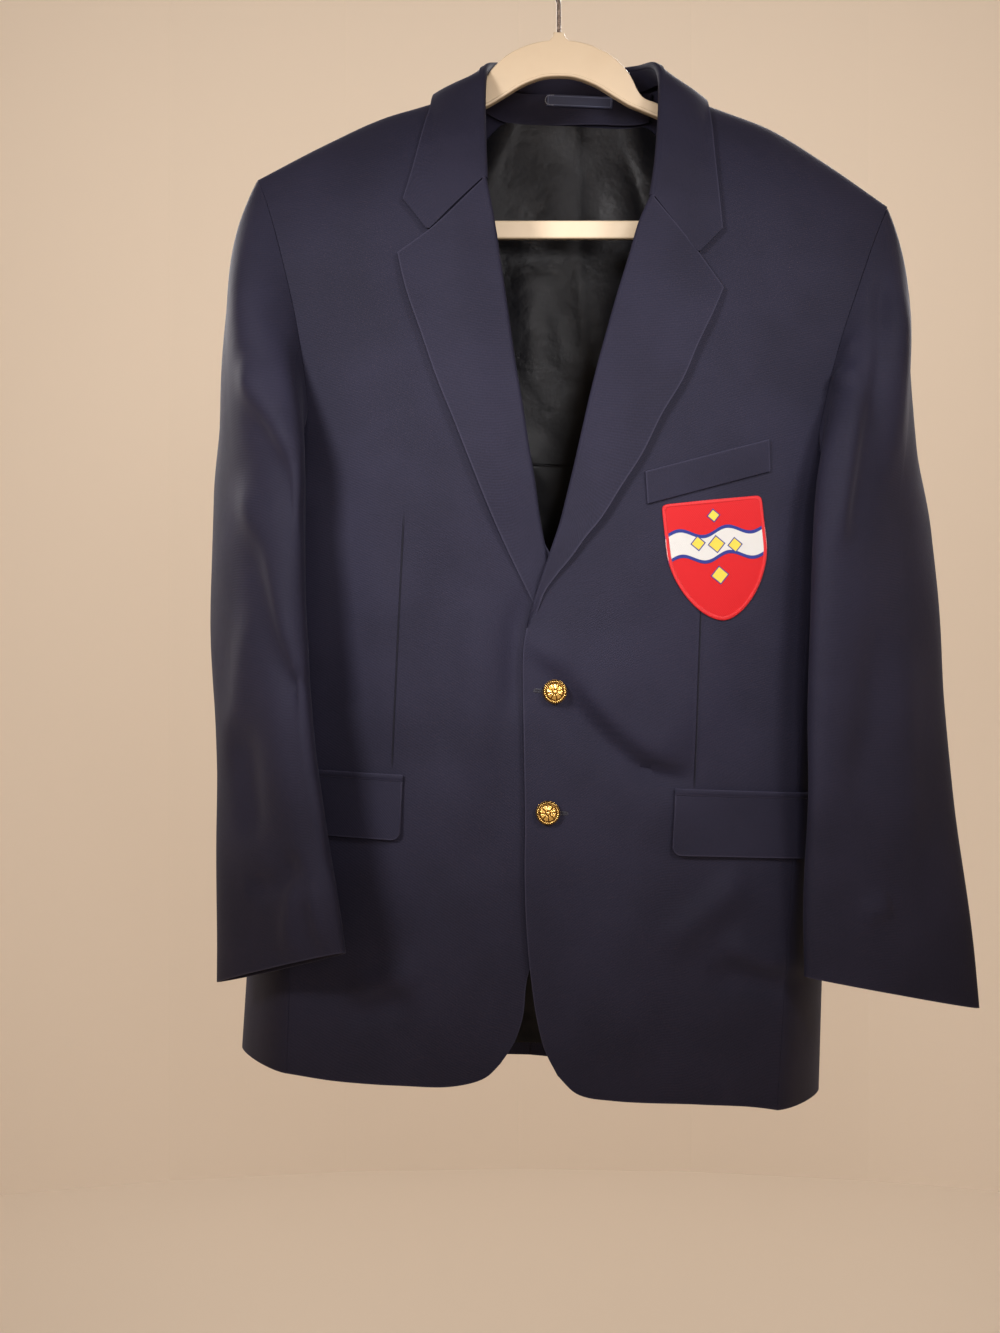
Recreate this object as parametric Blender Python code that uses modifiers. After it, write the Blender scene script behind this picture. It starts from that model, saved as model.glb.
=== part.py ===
"""A two-button blazer hanging on a moulded hanger.

Every piece that a tailor would cut is its own solid. The cloth pieces are laid on one pair of smooth surfaces, the
front and the back of the coat, which meet in a ridge along the shoulders. Sizes below are millimetres in the
garment's own frame: x to the wearer's left, y to the back, z up, with its origin between the tops of the shoulders.
The garment hangs a little turned on the hanger. The hanger's frame has its origin where the rail bears on the hook.
"""

import math

import bmesh
import bpy
import numpy as np

MM = 0.001

# How the coat hangs: its turn on the hanger and the place of the garment's origin below the rail
HANG_TURN = math.radians(2.7)
HANG_X = 17.6
HANG_Z = -124.5

# Walls and gaps
CLOTH = 2.0
TRIM = 1.6
LINING = 1.0
SEAM_GAP = 0.35
RIDGE_GAP = 1.5
FOLD_GAP = 2.4
STAND_GAP = 2.7
FACING_GAP = 2.4
LINING_GAP = 3.2
LAY = 0.6
POCKET_LAY = 1.2
FOLD_RADIUS = 3.4
UNDERLAP = 4.4

RIGHT, LEFT = -1, 1
SIDE_NAMES = {RIGHT: "right", LEFT: "left"}

# Height of the shoulder ridge: distance from the centre, wearer's right, wearer's left
SHOULDER = (
    (40, 6, 10),
    (84, -9, -4),
    (108, -19, -14),
    (130, -27, -21),
    (160, -37.5, -31),
    (210, -63, -58),
    (265, -95, -92.5),
)
RIDGE_Y = 2.0
ROLL_DROP = 120.0
ROLL_POWER = 0.72

# Depth of the coat: height, front centre, front side, back side, back centre
DEPTH = (
    (20, 58, 36, 38, 56),
    (-100, 66, 46, 48, 63),
    (-200, 76, 53, 53, 68),
    (-300, 83, 54, 53, 70),
    (-450, 88, 52, 50, 68),
    (-600, 86, 50, 50, 66),
    (-750, 80, 48, 52, 66),
    (-860, 76, 46, 54, 68),
)
# Distance of the seams of the side panel from the centre: height, front seam, back seam
SIDE_SEAMS = (
    (-290, 208, 234),
    (-450, 205, 236),
    (-650, 203, 241),
    (-860, 200, 246),
)
# How far the side panel runs on round its two corners: outward and back from the front seam, and from the back seam
FRONT_CORNER = (11.0, 4.0)
BACK_CORNER = (17.0, -4.0)
SIDE_SHARES = (0.009, 0.045, 0.12, 0.27, 0.45, 0.65, 0.84, 0.945, 0.988)
# Rise of the back above the ridge line round the neck: distance from the middle of the neck, rise
NECK_MIDDLE = -6.0
NECK_RISE = (
    (0, 124),
    (20, 114),
    (36, 92),
    (50, 66),
    (64, 36),
    (74, 11),
    (80, 0),
    (300, 0),
)

# Armhole: height, distance from the centre on the front, and on the back
ARMHOLE = (
    (-94, 265, 265),
    (-110, 257.5, 261.5),
    (-130, 249.5, 257),
    (-150, 242.5, 252.5),
    (-170, 236, 248),
    (-211, 224, 241.5),
    (-243, 216.5, 237.5),
    (-270, 211.5, 235),
    (-292, 208, 234),
)
ARMHOLE_LOW = -292.0
ARMHOLE_SAG = 36.0

# Edge of the roll where collar and lapel turn: height, x
ROLL_EDGE = {
    RIGHT: (
        (-8, -79),
        (-31, -75),
        (-94, -71),
        (-135, -63.5),
        (-173, -56),
        (-211, -48.7),
        (-249, -41.5),
        (-282, -34.4),
        (-318, -27.2),
        (-349, -20.5),
        (-376, -15.5),
        (-395, -12),
        (-414, -14.5),
        (-444, -25),
    ),
    LEFT: (
        (-2, 69),
        (-57.5, 65),
        (-101.6, 60.3),
        (-130.4, 52.5),
        (-159, 45.5),
        (-192, 37),
        (-222, 30),
        (-249, 24),
        (-275, 18.8),
        (-302, 14),
        (-330, 9),
        (-357, 3.8),
        (-380, -1),
        (-399, -6.5),
        (-420, -12.5),
        (-444, -18.5),
        (-462, -22.6),
    ),
}
# Outer edge of the lapel from its point to where it ends: height, x
LAPEL_EDGE = {
    RIGHT: (
        (-164.7, -140.7),
        (-192, -133),
        (-230, -118),
        (-267, -103.3),
        (-299, -86.6),
        (-335, -69),
        (-373, -50.4),
        (-409, -32),
        (-430, -26.5),
        (-442, -28),
    ),
    LEFT: (
        (-181.3, 123),
        (-197, 117.2),
        (-229, 103.8),
        (-258, 92.8),
        (-287, 77.2),
        (-320, 62.6),
        (-347, 47),
        (-374, 31.5),
        (-390, 19.6),
        (-404, 10.7),
        (-419, -0.6),
        (-433, -9.5),
        (-452, -15.5),
        (-461, -19),
    ),
}
# Gorge: where the seam of collar and lapel leaves the roll, the notch, and the collar's own point, as x, height
GORGE = {
    RIGHT: ((-70.5, -101), (-115, -147), (-138.4, -120)),
    LEFT: ((59.8, -109.4), (100, -155), (120.3, -132.9)),
}
# How far down each row of the forepart is, as a share of its length
FRONT_SHARES = (0, 0.008, 0.02, 0.036, 0.056, 0.08, 0.11, 0.145, 0.185, 0.23, 0.28, 0.335, 0.39, 0.445, 0.5)
FRONT_SHARES += (0.56, 0.62, 0.68, 0.74, 0.795, 0.845, 0.89, 0.925, 0.955, 0.98, 1)
# Front edge from the end of the lapel down to the corner at the hem: height, x
FRONT_EDGE = {
    RIGHT: (
        (-395, -12),
        (-420, 4),
        (-447, 20),
        (-513, 24),
        (-600, 21),
        (-660, 12),
        (-710, 0),
        (-744, -8.8),
        (-777, -11.2),
        (-797, -17.5),
        (-813, -27),
    ),
    LEFT: (
        (-447, -18.3),
        (-461.5, -22.4),
        (-482, -24.6),
        (-513, -23.1),
        (-565, -19.8),
        (-616, -16.6),
        (-663, -14.7),
        (-711, -10.4),
        (-744, -5.6),
        (-776, 0.7),
        (-800, 8.3),
        (-819, 19),
    ),
}
# Hem from the front corner round to the centre of the back: distance from the centre, height
FRONT_HEM = {
    RIGHT: ((27, -813), (37, -824), (58.6, -832), (107, -835), (156, -836), (200, -834)),
    LEFT: ((19, -819), (34, -832.6), (62.6, -838), (136, -840), (187, -843), (200, -845)),
}
BACK_HEM = {
    RIGHT: ((0, -832), (120, -834), (246, -831)),
    LEFT: ((0, -832), (120, -838), (246, -844)),
}

# Collar, from the gorge over the shoulder to the centre of the back, as x, y, z of its fold and of its outer edge.
# With no y it lies on the front.
COLLAR_ROWS = {
    RIGHT: (
        ((-70.5, None, -101), (-138.4, None, -120)),
        ((-72.5, None, -78), (-133, None, -96)),
        ((-75, None, -45), (-127.7, None, -66)),
        ((-76.5, -24, -12), (-123, None, -38)),
        ((-75, 4, 12), (-119, 4, -15)),
        ((-64, 30, 22), (-101, 24, -22)),
        ((-38, 50, 26), (-64, 60, -24)),
        ((-6, 56, 28), (-6, 71, -22)),
    ),
    LEFT: (
        ((59.8, None, -109.4), (120.3, None, -132.9)),
        ((62.5, None, -86), (117, None, -106)),
        ((64.8, None, -50), (113, None, -70)),
        ((66, -24, -6), (110.5, None, -36)),
        ((62, 4, 20), (107, 4, -9)),
        ((50, 30, 25), (88, 24, -15)),
        ((25, 50, 27), (51, 62, -21)),
        ((-6, 56, 28), (-6, 71, -22)),
    ),
}
# Neck seam at the foot of the stand, from just behind the hanger round the back to its other side: x, y, z
NECK_SEAM = (
    (-79, 15, 3),
    (-70, 36, 4),
    (-42, 56, 5),
    (-6, 62, 6.5),
    (30, 56, 6),
    (57, 36, 5),
    (67, 15, 4),
)
# Where the shoulder seams end at the neck, and the neckline of the back between them: x, height
NECK_END = {RIGHT: -82.0, LEFT: 70.0}
BACK_SHARES = (0, 0.09, 0.155, 0.205, 0.25, 0.295, 0.36, 0.5, 0.67, 0.84, 1)
BACK_NECK = ((-70, 0), (-42, 4), (-6, 5.5), (30, 5), (57, 3))
NOTCH_SHARE = 0.66
NOTCH_FADE = 45.0
STAND_START = 0.36
# Where the end of each lapel lies flat on the front, with no fold: from this height to this one it flattens
LAPEL_FLAT = {RIGHT: (-352, -370), LEFT: (-392, -410)}

# Sleeves: height, centre distance, centre y, half width, half thickness, turn from the x axis, slant of the end
SLEEVE_RINGS = {
    RIGHT: (
        (-362, 249, -25, 93, 21, 64, 0),
        (-466, 243.5, -38, 90, 21, 62, 0),
        (-565, 230.5, -57, 86, 20, 60, 0),
        (-655, 218, -72, 80, 18, 52, 8),
        (-743, 207, -80, 74, 16, 43, 22),
    ),
    LEFT: (
        (-362, 263, -20, 93, 22, 52, 0),
        (-437, 267, -28, 92, 22, 47.5, 0),
        (-509, 271, -31, 90, 21, 44, 0),
        (-587, 277, -37, 86, 19, 38, 3),
        (-668, 284, -42, 81, 18, 25, 8),
        (-744, 289.5, -50, 77, 16, 13, 12),
    ),
}
RING_POWER = 2.3
# Way that the sleeve leaves the armhole: share of the way round from the shoulder, outward, forward, down
SLEEVE_HEAD = (
    (0.0, 0.45, 0.0, 0.9),
    (0.12, 0.7, 0.3, 0.65),
    (0.2, 0.5, 0.5, 0.7),
    (0.26, 0.2, 0.65, 0.75),
    (0.32, 0.0, 0.6, 0.8),
    (0.4, 0.1, 0.4, 0.9),
    (0.5, 0.5, 0.0, 0.85),
    (0.58, 0.5, -0.4, 0.75),
    (0.65, 0.6, -0.7, 0.5),
    (0.75, 0.7, -0.6, 0.4),
    (0.88, 0.75, -0.35, 0.6),
    (1.0, 0.45, 0.0, 0.9),
)
# Where the columns of the upper and the under sleeve lie, as shares round it from the shoulder, front first
UPPER_SHARES = (-0.225, -0.18, -0.13, -0.085, -0.05, -0.025, -0.008, 0.008, 0.025, 0.05, 0.085)
UPPER_SHARES += (0.13, 0.175, 0.215, 0.25, 0.28)
UNDER_SHARES = (0.28, 0.315, 0.35, 0.375, 0.4, 0.44, 0.5, 0.56, 0.6, 0.625, 0.65, 0.71, 0.775)
ARM_SEAM_SHARE = 0.001
SLEEVE_TOP_SHARE = 0.0022
SLEEVE_DOWN = np.linspace(0, 1, 18) ** 1.15

# Pockets and patch
WELT_CORNERS = ((66, -333.3), (166, -301), (168, -327), (69, -359.5))
FLAP = {
    RIGHT: {"front": 115.5, "top": -590, "low": -637},
    LEFT: {"front": 102, "top": -590.5, "low": -638.5},
}
FLAP_SIDE_SHARE = 0.5
FLAP_CORNER = 9.0
JET_TALL = 5.5
PATCH_CENTRE = (127, -392)
PATCH_TURN = math.radians(9)
PATCH_HALF_WIDTH = 41.0
PATCH_HALF_HEIGHT = 46.0

LABEL_LEFT, LABEL_RIGHT = -25.0, 32.0
LABEL_TOP, LABEL_LOW = 3.0, -7.0
FACING_TOP, FACING_LOW = 4.5, -21.0
FACING_ENDS = (-60.0, 48.0)
LINING_LOW = 12.0
PLEAT_X, PLEAT_WIDE, PLEAT_HIGH = 3.0, 10.0, 3.0

BUTTON_XZ = {"button_upper": (2.2, -512), "button_lower": (1.3, -608.5)}
# Turned profile of a shank button: radius, distance out from the cloth
BUTTON_PROFILE = (
    (0.0, 7.6),
    (4.0, 7.3),
    (7.2, 6.2),
    (9.1, 4.6),
    (9.5, 3.7),
    (9.1, 3.0),
    (6.0, 2.6),
    (2.6, 2.4),
    (2.2, 0.4),
    (0.0, 0.4),
)
BUTTON_SIDES = 24

# Hanger, in its own frame: distance from its middle, top of the arm, bottom of the arm
HANGER_MIDDLE = 1.5
HANGER_ARM = (
    (0, -90.5, -121.5),
    (10, -91, -122),
    (30, -96, -128.5),
    (50, -108.5, -140.5),
    (61, -122, -146.8),
    (66.5, -133.5, -149),
    (81, -143, -155),
    (100, -148.5, -163),
    (130, -159.5, -174),
    (160, -171.5, -187),
    (188, -185, -201),
)
HANGER_END = ((203, -196), (206, -214), (206, -236), (198, -251), (184, -257.2))
HANGER_END_INNER = ((191, -207), (193, -222), (191, -236), (182, -242.1))
HANGER_THICK = 8.0
HANGER_ROUND = 1.2
NECK_TOP = -84.0
NECK_HALF = 4.6
WIRE_RADIUS = 1.9
HOOK_RADIUS = 24.0
HOOK_POINTS = 16
STEM_TOP = -52.0


def curve(rows, column=1):
    """A smooth function of a table's first column, through another of its columns, with no overshoot."""
    table = sorted((row[0], row[column]) for row in rows)
    keys = np.array([row[0] for row in table], float)
    values = np.array([row[1] for row in table], float)
    slopes = np.gradient(values, keys)
    steps = np.diff(values) / np.diff(keys)
    before, after = np.append(steps[0], steps), np.append(steps, steps[-1])
    limit = 3 * np.minimum(abs(before), abs(after))
    slopes = np.where(before * after > 0, np.clip(slopes, -limit, limit), 0.0)

    def at(key):
        key = np.clip(key, keys[0], keys[-1])
        i = np.clip(np.searchsorted(keys, key) - 1, 0, len(keys) - 2)
        span = keys[i + 1] - keys[i]
        t = (key - keys[i]) / span
        return (
            values[i] * (1 + 2 * t) * (1 - t) ** 2
            + slopes[i] * span * t * (1 - t) ** 2
            + values[i + 1] * t * t * (3 - 2 * t)
            + slopes[i + 1] * span * t * t * (t - 1)
        )

    return at


def path(points):
    """A smooth curve through points, as a function of the share of its length."""
    points = np.array(points, float)
    steps = np.linalg.norm(np.diff(points, axis=0), axis=1)
    keys = np.concatenate([[0], np.cumsum(steps)])
    parts = [curve(list(zip(keys, points[:, i]))) for i in range(points.shape[1])]
    return lambda share: np.array([part(share * keys[-1]) for part in parts])


def smooth(value):
    value = np.clip(value, 0.0, 1.0)
    return value * value * (3 - 2 * value)


ridge_height = {RIGHT: curve(SHOULDER, 1), LEFT: curve(SHOULDER, 2)}
front_centre, front_side, back_side, back_centre = (curve(DEPTH, i) for i in range(1, 5))
front_seam, back_seam = curve(SIDE_SEAMS, 1), curve(SIDE_SEAMS, 2)
neck_rise = curve(NECK_RISE)


def ridge(x):
    """Height of the shoulder ridge at x, blended across the neck."""
    share = smooth(x / 80 + 0.5)
    return (1 - share) * ridge_height[RIGHT](abs(x)) + share * ridge_height[LEFT](abs(x))


def roll_over(below):
    """How far the surface has come away from the ridge, from 0 at the ridge to 1."""
    drop = np.clip(below / ROLL_DROP, 0.0, 1.0)
    return (1 - (1 - drop) ** 2) ** ROLL_POWER


def front_y(x, z):
    """Depth of the outer face of the front."""
    side = front_side(z)
    depth = side + (front_centre(z) - side) * (1 - (abs(x) / 206) ** 2.2)
    return RIDGE_Y - (depth + RIDGE_Y) * roll_over(ridge(x) - z)


def under_front_y(x, z):
    """The same for the wearer's right front, which runs behind the left one at the closing."""
    behind = smooth((x + 80) / 45) * smooth((-330 - z) / 60)
    return front_y(x, z) + UNDERLAP * behind


def back_y(x, z):
    """Depth of the outer face of the back, which stands up behind the neck."""
    side = back_side(z)
    depth = side + (back_centre(z) - side) * (1 - (abs(x) / 249) ** 4)
    top = ridge(x) + neck_rise(abs(x - NECK_MIDDLE))
    return RIDGE_Y + (depth - RIDGE_Y) * roll_over(top - z)


FRONTS = {RIGHT: under_front_y, LEFT: front_y}


def side_point(side, share, z):
    """A point of the side panel at a height, from its front seam at 0 to its back seam at 1."""
    start = np.array([front_seam(z), front_y(front_seam(z), z)])
    end = np.array([back_seam(z), back_y(back_seam(z), z)])
    first, last = start + FRONT_CORNER, end + BACK_CORNER
    rest = 1 - share
    at = rest**3 * start + 3 * rest**2 * share * first + 3 * rest * share**2 * last + share**3 * end
    return np.array([side * at[0], at[1], z])


armhole_front, armhole_back = curve(ARMHOLE, 1), curve(ARMHOLE, 2)


def armhole_curve(side):
    """The armhole as a closed curve: from the shoulder down the front, under the arm and up the back."""
    points = []
    for share in np.linspace(0, 1, 25):
        z = ARMHOLE[0][0] + (ARMHOLE_LOW - ARMHOLE[0][0]) * share**1.3
        x = side * armhole_front(z)
        points.append((x, front_y(x, z), z))
    for share in np.linspace(0, 1, 17)[1:-1]:
        z = ARMHOLE_LOW - ARMHOLE_SAG * math.sqrt(1 - (2 * share - 1) ** 2)
        points.append(side_point(side, share, z))
    for share in np.linspace(1, 0, 25):
        z = ARMHOLE[0][0] + (ARMHOLE_LOW - ARMHOLE[0][0]) * share**1.3
        x = side * armhole_back(z)
        points.append((x, back_y(x, z), z))
    return path(points)


def to_world(point):
    """Turns the garment's frame into the hanger's, and millimetres into metres."""
    x, y, z = point
    cos, sin = math.cos(HANG_TURN), math.sin(HANG_TURN)
    return (MM * (HANG_X + x * cos + z * sin), MM * y, MM * (HANG_Z - x * sin + z * cos))


def finish(name, colour, roughness, metallic=0.0):
    material = bpy.data.materials.new(name)
    material.use_nodes = True
    shader = material.node_tree.nodes["Principled BSDF"]
    shader.inputs["Base Color"].default_value = (*colour, 1.0)
    shader.inputs["Roughness"].default_value = roughness
    shader.inputs["Metallic"].default_value = metallic
    material.diffuse_color = (*colour, 1.0)
    return material


def add_object(name, mesh, material, collection):
    obj = bpy.data.objects.new(name, mesh)
    mesh.materials.append(material)
    collection.objects.link(obj)
    return obj


def wall(name, rows, thickness, outward, material, collection, ring=False):
    """A wall of cloth: rows of points make its outer face, and Solidify gives it its thickness inwards."""
    high, wide = len(rows), len(rows[0])
    points = [to_world(point) for row in rows for point in row]
    faces = []
    for j in range(high - 1):
        for i in range(wide if ring else wide - 1):
            k = (i + 1) % wide
            faces.append((j * wide + i, j * wide + k, (j + 1) * wide + k, (j + 1) * wide + i))
    middle = np.array([points[i] for i in faces[len(faces) // 2 + (wide - 1) // 2]])
    normal = np.cross(middle[1] - middle[0], middle[2] - middle[0])
    if np.dot(normal, outward) < 0:
        faces = [face[::-1] for face in faces]
    mesh = bpy.data.meshes.new(name)
    mesh.from_pydata(points, [], faces)
    mesh.shade_smooth()
    obj = add_object(name, mesh, material, collection)
    solid = obj.modifiers.new("thickness", "SOLIDIFY")
    solid.thickness = thickness * MM
    solid.offset = -1.0
    solid.use_quality_normals = True
    return obj


def panel_rows(top, bottom, inner, outer, across, down, gap=SEAM_GAP):
    """Rows of x and z inside four edges, at shares across and down them. Edges start at the inner side or the top."""
    rows = []
    for v in down:
        length = np.linalg.norm(outer(1.0) - outer(0.0)) + 1
        v = np.clip(v, gap / length, 1 - gap / length)
        left, right = inner(v), outer(v)
        inset = min(0.45, gap / (np.linalg.norm(right - left) + 1e-6))
        row = []
        for share in across:
            u = inset + (1 - 2 * inset) * share
            point = (
                (1 - u) * left
                + u * right
                + (1 - v) * top(u)
                + v * bottom(u)
                - (1 - u) * (1 - v) * top(0.0)
                - u * (1 - v) * top(1.0)
                - (1 - u) * v * bottom(0.0)
                - u * v * bottom(1.0)
            )
            row.append(point)
        rows.append(row)
    return rows


def front_panel(side, collection, material):
    """The forepart, from the shoulder seam to the hem and from the roll and the front edge to the side seam."""
    neck = ROLL_EDGE[side][0][1]
    ridge_line = [(x, ridge(x)) for x in np.linspace(neck + side * 6, side * 265, 12)]
    away = FOLD_RADIUS + FOLD_GAP
    roll = [(x + side * away, z) for z, x in ROLL_EDGE[side]]
    edge = [(x, z) for z, x in FRONT_EDGE[side]]
    inner = path([ridge_line[0]] + [p for p in roll[1:] if p[1] > edge[0][1] + 12] + edge[1:])
    arm = [(side * armhole_front(z), z) for z in np.linspace(ARMHOLE[0][0], ARMHOLE_LOW, 14)]
    hem = FRONT_HEM[side]
    seam = [(side * front_seam(z), z) for z in np.linspace(ARMHOLE_LOW - 20, hem[-1][1], 12)]
    outer = path(arm + seam)
    bottom = path([edge[-1]] + [(side * d, z) for d, z in hem[1:]])
    top = path(ridge_line)
    rows = panel_rows(top, bottom, inner, outer, np.linspace(0, 1, 10), FRONT_SHARES)
    face = FRONTS[side]
    rows = [[(x, min(face(x, z), RIDGE_Y - RIDGE_GAP), z) for x, z in row] for row in rows]
    name = "front_" + SIDE_NAMES[side]
    return wall(name, rows, CLOTH, (0, -1, 0), material, collection)


def side_panel(side, collection, material):
    rows = []
    down = 13
    low = {0: FRONT_HEM[side][-1][1], 1: BACK_HEM[side][-1][1]}
    for j in range(down + 1):
        row = []
        for share in SIDE_SHARES:
            start = ARMHOLE_LOW - ARMHOLE_SAG * math.sqrt(1 - (2 * share - 1) ** 2) - SEAM_GAP
            end = (1 - share) * low[0] + share * low[1]
            row.append(side_point(side, share, start + (end - start) * (j / down) ** 1.2))
        rows.append(row)
    name = "side_panel_" + SIDE_NAMES[side]
    return wall(name, rows, CLOTH, (side, 0, 0), material, collection)


def back_panel(side, collection, material):
    neck = NECK_END[side]
    seam_at = [(x, ridge(x)) for x in np.linspace(neck, side * 265, 12)]
    neck_line = [(x, z) for x, z in BACK_NECK if (x - NECK_MIDDLE) * side >= 0]
    neck_line.sort(key=lambda point: abs(point[0] - NECK_MIDDLE))
    middle = NECK_MIDDLE
    top = path(neck_line + seam_at)
    low = BACK_HEM[side]
    inner = path([(middle + 6 * t, neck_line[0][1] + (low[0][1] - neck_line[0][1]) * t) for t in (0, 0.3, 0.6, 1)])
    arm = [(side * armhole_back(z), z) for z in np.linspace(ARMHOLE[0][0], ARMHOLE_LOW, 12)]
    seam = [(side * back_seam(z), z) for z in np.linspace(ARMHOLE_LOW - 20, low[-1][1], 12)]
    bottom = path([(side * d, z) for d, z in low])
    rows = panel_rows(top, bottom, inner, path(arm + seam), BACK_SHARES, np.linspace(0, 1, 21) ** 1.6)
    rows = [[(x, max(back_y(x, z), RIDGE_Y + RIDGE_GAP), z) for x, z in row] for row in rows]
    name = "back_" + SIDE_NAMES[side]
    return wall(name, rows, CLOTH, (0, 1, 0), material, collection)


def ring_path(side, row):
    """One section of the sleeve, as a function of the share of its girth from its outer line, front first."""
    z, centre, depth, half_wide, half_thin, turn, slant = row
    turn = math.radians(turn)
    wide = np.array([math.cos(turn), math.sin(turn)])
    thin = np.array([math.sin(turn), -math.cos(turn)])
    points = []
    for angle in np.linspace(0, 2 * math.pi, 73):
        along = -math.copysign(abs(math.sin(angle)) ** (2 / RING_POWER), math.sin(angle))
        out = math.copysign(abs(math.cos(angle)) ** (2 / RING_POWER), math.cos(angle))
        at = np.array([centre, depth]) + along * half_wide * wide + out * half_thin * thin
        points.append((side * at[0], at[1], z - slant * along))
    return path(points)


def sleeve_surface(side):
    """The sleeve as a function of the share round it and the share down it."""
    armhole = armhole_curve(side)
    rings = [ring_path(side, row) for row in SLEEVE_RINGS[side]]
    heights = [row[0] for row in SLEEVE_RINGS[side]]
    leave = [curve(SLEEVE_HEAD, i) for i in (1, 2, 3)]
    first = 0.36
    keys = [0.0] + [first + (1 - first) * (heights[0] - z) / (heights[0] - heights[-1]) for z in heights]

    def at(around, down):
        around %= 1.0
        points = [armhole(around)] + [ring(around) for ring in rings]
        way = np.array([side * leave[0](around), -leave[1](around), -leave[2](around)])
        reach = np.linalg.norm(points[1] - points[0])
        slopes = [way * reach / first]
        for i in range(1, len(points) - 1):
            slopes.append((points[i + 1] - points[i - 1]) / (keys[i + 1] - keys[i - 1]))
        slopes[1] = (points[2] - points[1]) / (keys[2] - keys[1])
        slopes.append((points[-1] - points[-2]) / (keys[-1] - keys[-2]))
        i = min(int(np.searchsorted(keys, down, side="right")) - 1, len(points) - 2)
        span = keys[i + 1] - keys[i]
        t = (down - keys[i]) / span
        return (
            points[i] * (1 + 2 * t) * (1 - t) ** 2
            + slopes[i] * (span * t * (1 - t) ** 2)
            + points[i + 1] * (t * t * (3 - 2 * t))
            + slopes[i + 1] * (span * t * t * (t - 1))
        )

    return at


def sleeve(side, collection, material):
    surface = sleeve_surface(side)
    parts = {"upper": (UPPER_SHARES, (side * 0.8, -0.6, 0)), "under": (UNDER_SHARES, (-side * 0.8, 0.6, 0))}
    for part, (shares, outward) in parts.items():
        around = np.clip(shares, shares[0] + ARM_SEAM_SHARE, shares[-1] - ARM_SEAM_SHARE)
        rows = [[surface(u, v) for u in around] for v in SLEEVE_TOP_SHARE + (1 - SLEEVE_TOP_SHARE) * SLEEVE_DOWN]
        wall(f"sleeve_{SIDE_NAMES[side]}_{part}", rows, CLOTH, outward, material, collection)


def fold_section(fold, edge, along, shares, lift, out_hint):
    """One section of cloth turned back over a fold: round the fold and on to its edge."""
    back = fold - edge
    back -= along * np.dot(back, along)
    back /= np.linalg.norm(back)
    out = np.cross(along, back)
    if np.dot(out, out_hint) < 0:
        out = -out
    centre = fold - FOLD_RADIUS * back
    row = []
    for angle in np.radians((-90, -45, 0, 45, 90)):
        row.append(centre + FOLD_RADIUS * (math.cos(angle) * back + math.sin(angle) * out))
    start = row[-1]
    for share in shares:
        row.append(start + (edge - start) * share + out * lift * 4 * share * (1 - share))
    return row


def lapel(side, collection, material):
    """The turned-back lapel: its rows run from the roll to its outer edge."""
    face = FRONTS[side]
    gorge, notch, _ = GORGE[side]
    point = LAPEL_EDGE[side][0]
    top = path([np.array(gorge) + (0, -1.0), np.array(notch) + (0, -1.0), (point[1], point[0])])
    roll = path([top(0.0)] + [(x, z) for z, x in ROLL_EDGE[side] if z < gorge[1] - 8])
    edge = path([(x, z) for z, x in LAPEL_EDGE[side]])
    bottom = path([roll(1.0), edge(1.0)])
    shares = (0.22, 0.5, 0.78, 1.0)
    rows = []
    down = 17
    flat = panel_rows(top, bottom, roll, edge, np.linspace(0, 1, 11), np.linspace(0, 1, down + 1), gap=0.0)
    for j, row in enumerate(flat):
        x, z = row[0]
        spots = [np.array([px, face(px, pz) - CLOTH - LAY, pz]) for px, pz in row]
        fold = np.array([x, face(x, z) + CLOTH - FOLD_RADIUS, z])
        after = np.array(flat[min(j + 1, down)][0]) - np.array(flat[max(j - 1, 0)][0])
        along = np.array([after[0], 0, after[1]])
        along /= np.linalg.norm(along)
        width = np.linalg.norm(spots[-1] - spots[0])
        section = fold_section(fold, spots[-1], along, (), 0, (0, -1, 0))
        high, low = LAPEL_FLAT[side]
        flatness = smooth((high - z) / (high - low))
        for k, point in enumerate(section):
            level = spots[0] + (spots[-1] - spots[0]) * 0.06 * k
            section[k] = point + (level - point) * flatness
        start = section[-1]
        for share in shares:
            spot = np.array([np.interp(share, np.linspace(0, 1, 11), [s[k] for s in spots]) for k in range(3)])
            rise = (start[1] - spots[0][1]) * (1 - smooth(share * width / 60))
            spot[1] += min(0.0, rise)
            if width < 8 * FOLD_RADIUS:
                spot = start + (spots[-1] - start) * share
            section.append(spot)
        rows.append(section)
    name = "lapel_" + SIDE_NAMES[side]
    return wall(name, rows, CLOTH, (0, -1, 0), material, collection)


def on_front(side, x, z, rise):
    return FRONTS[side](x, z) - rise


def collar_lines():
    """The fold, the outer edge and the neck seam of the collar, from the right gorge to the left one."""
    folds, edges = [], []
    for side in (RIGHT, LEFT):
        rows = COLLAR_ROWS[side] if side == RIGHT else COLLAR_ROWS[side][:-1][::-1]
        for fold, edge in rows:
            rise = CLOTH + LAY + 1.4
            fold_y = on_front(side, fold[0], fold[2], FOLD_RADIUS - CLOTH) if fold[1] is None else fold[1]
            edge_y = on_front(side, edge[0], edge[2], rise) if edge[1] is None else edge[1]
            folds.append((fold[0], fold_y, fold[2]))
            edges.append((edge[0], edge_y, edge[2]))
    return path(folds), path(edges)


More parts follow.
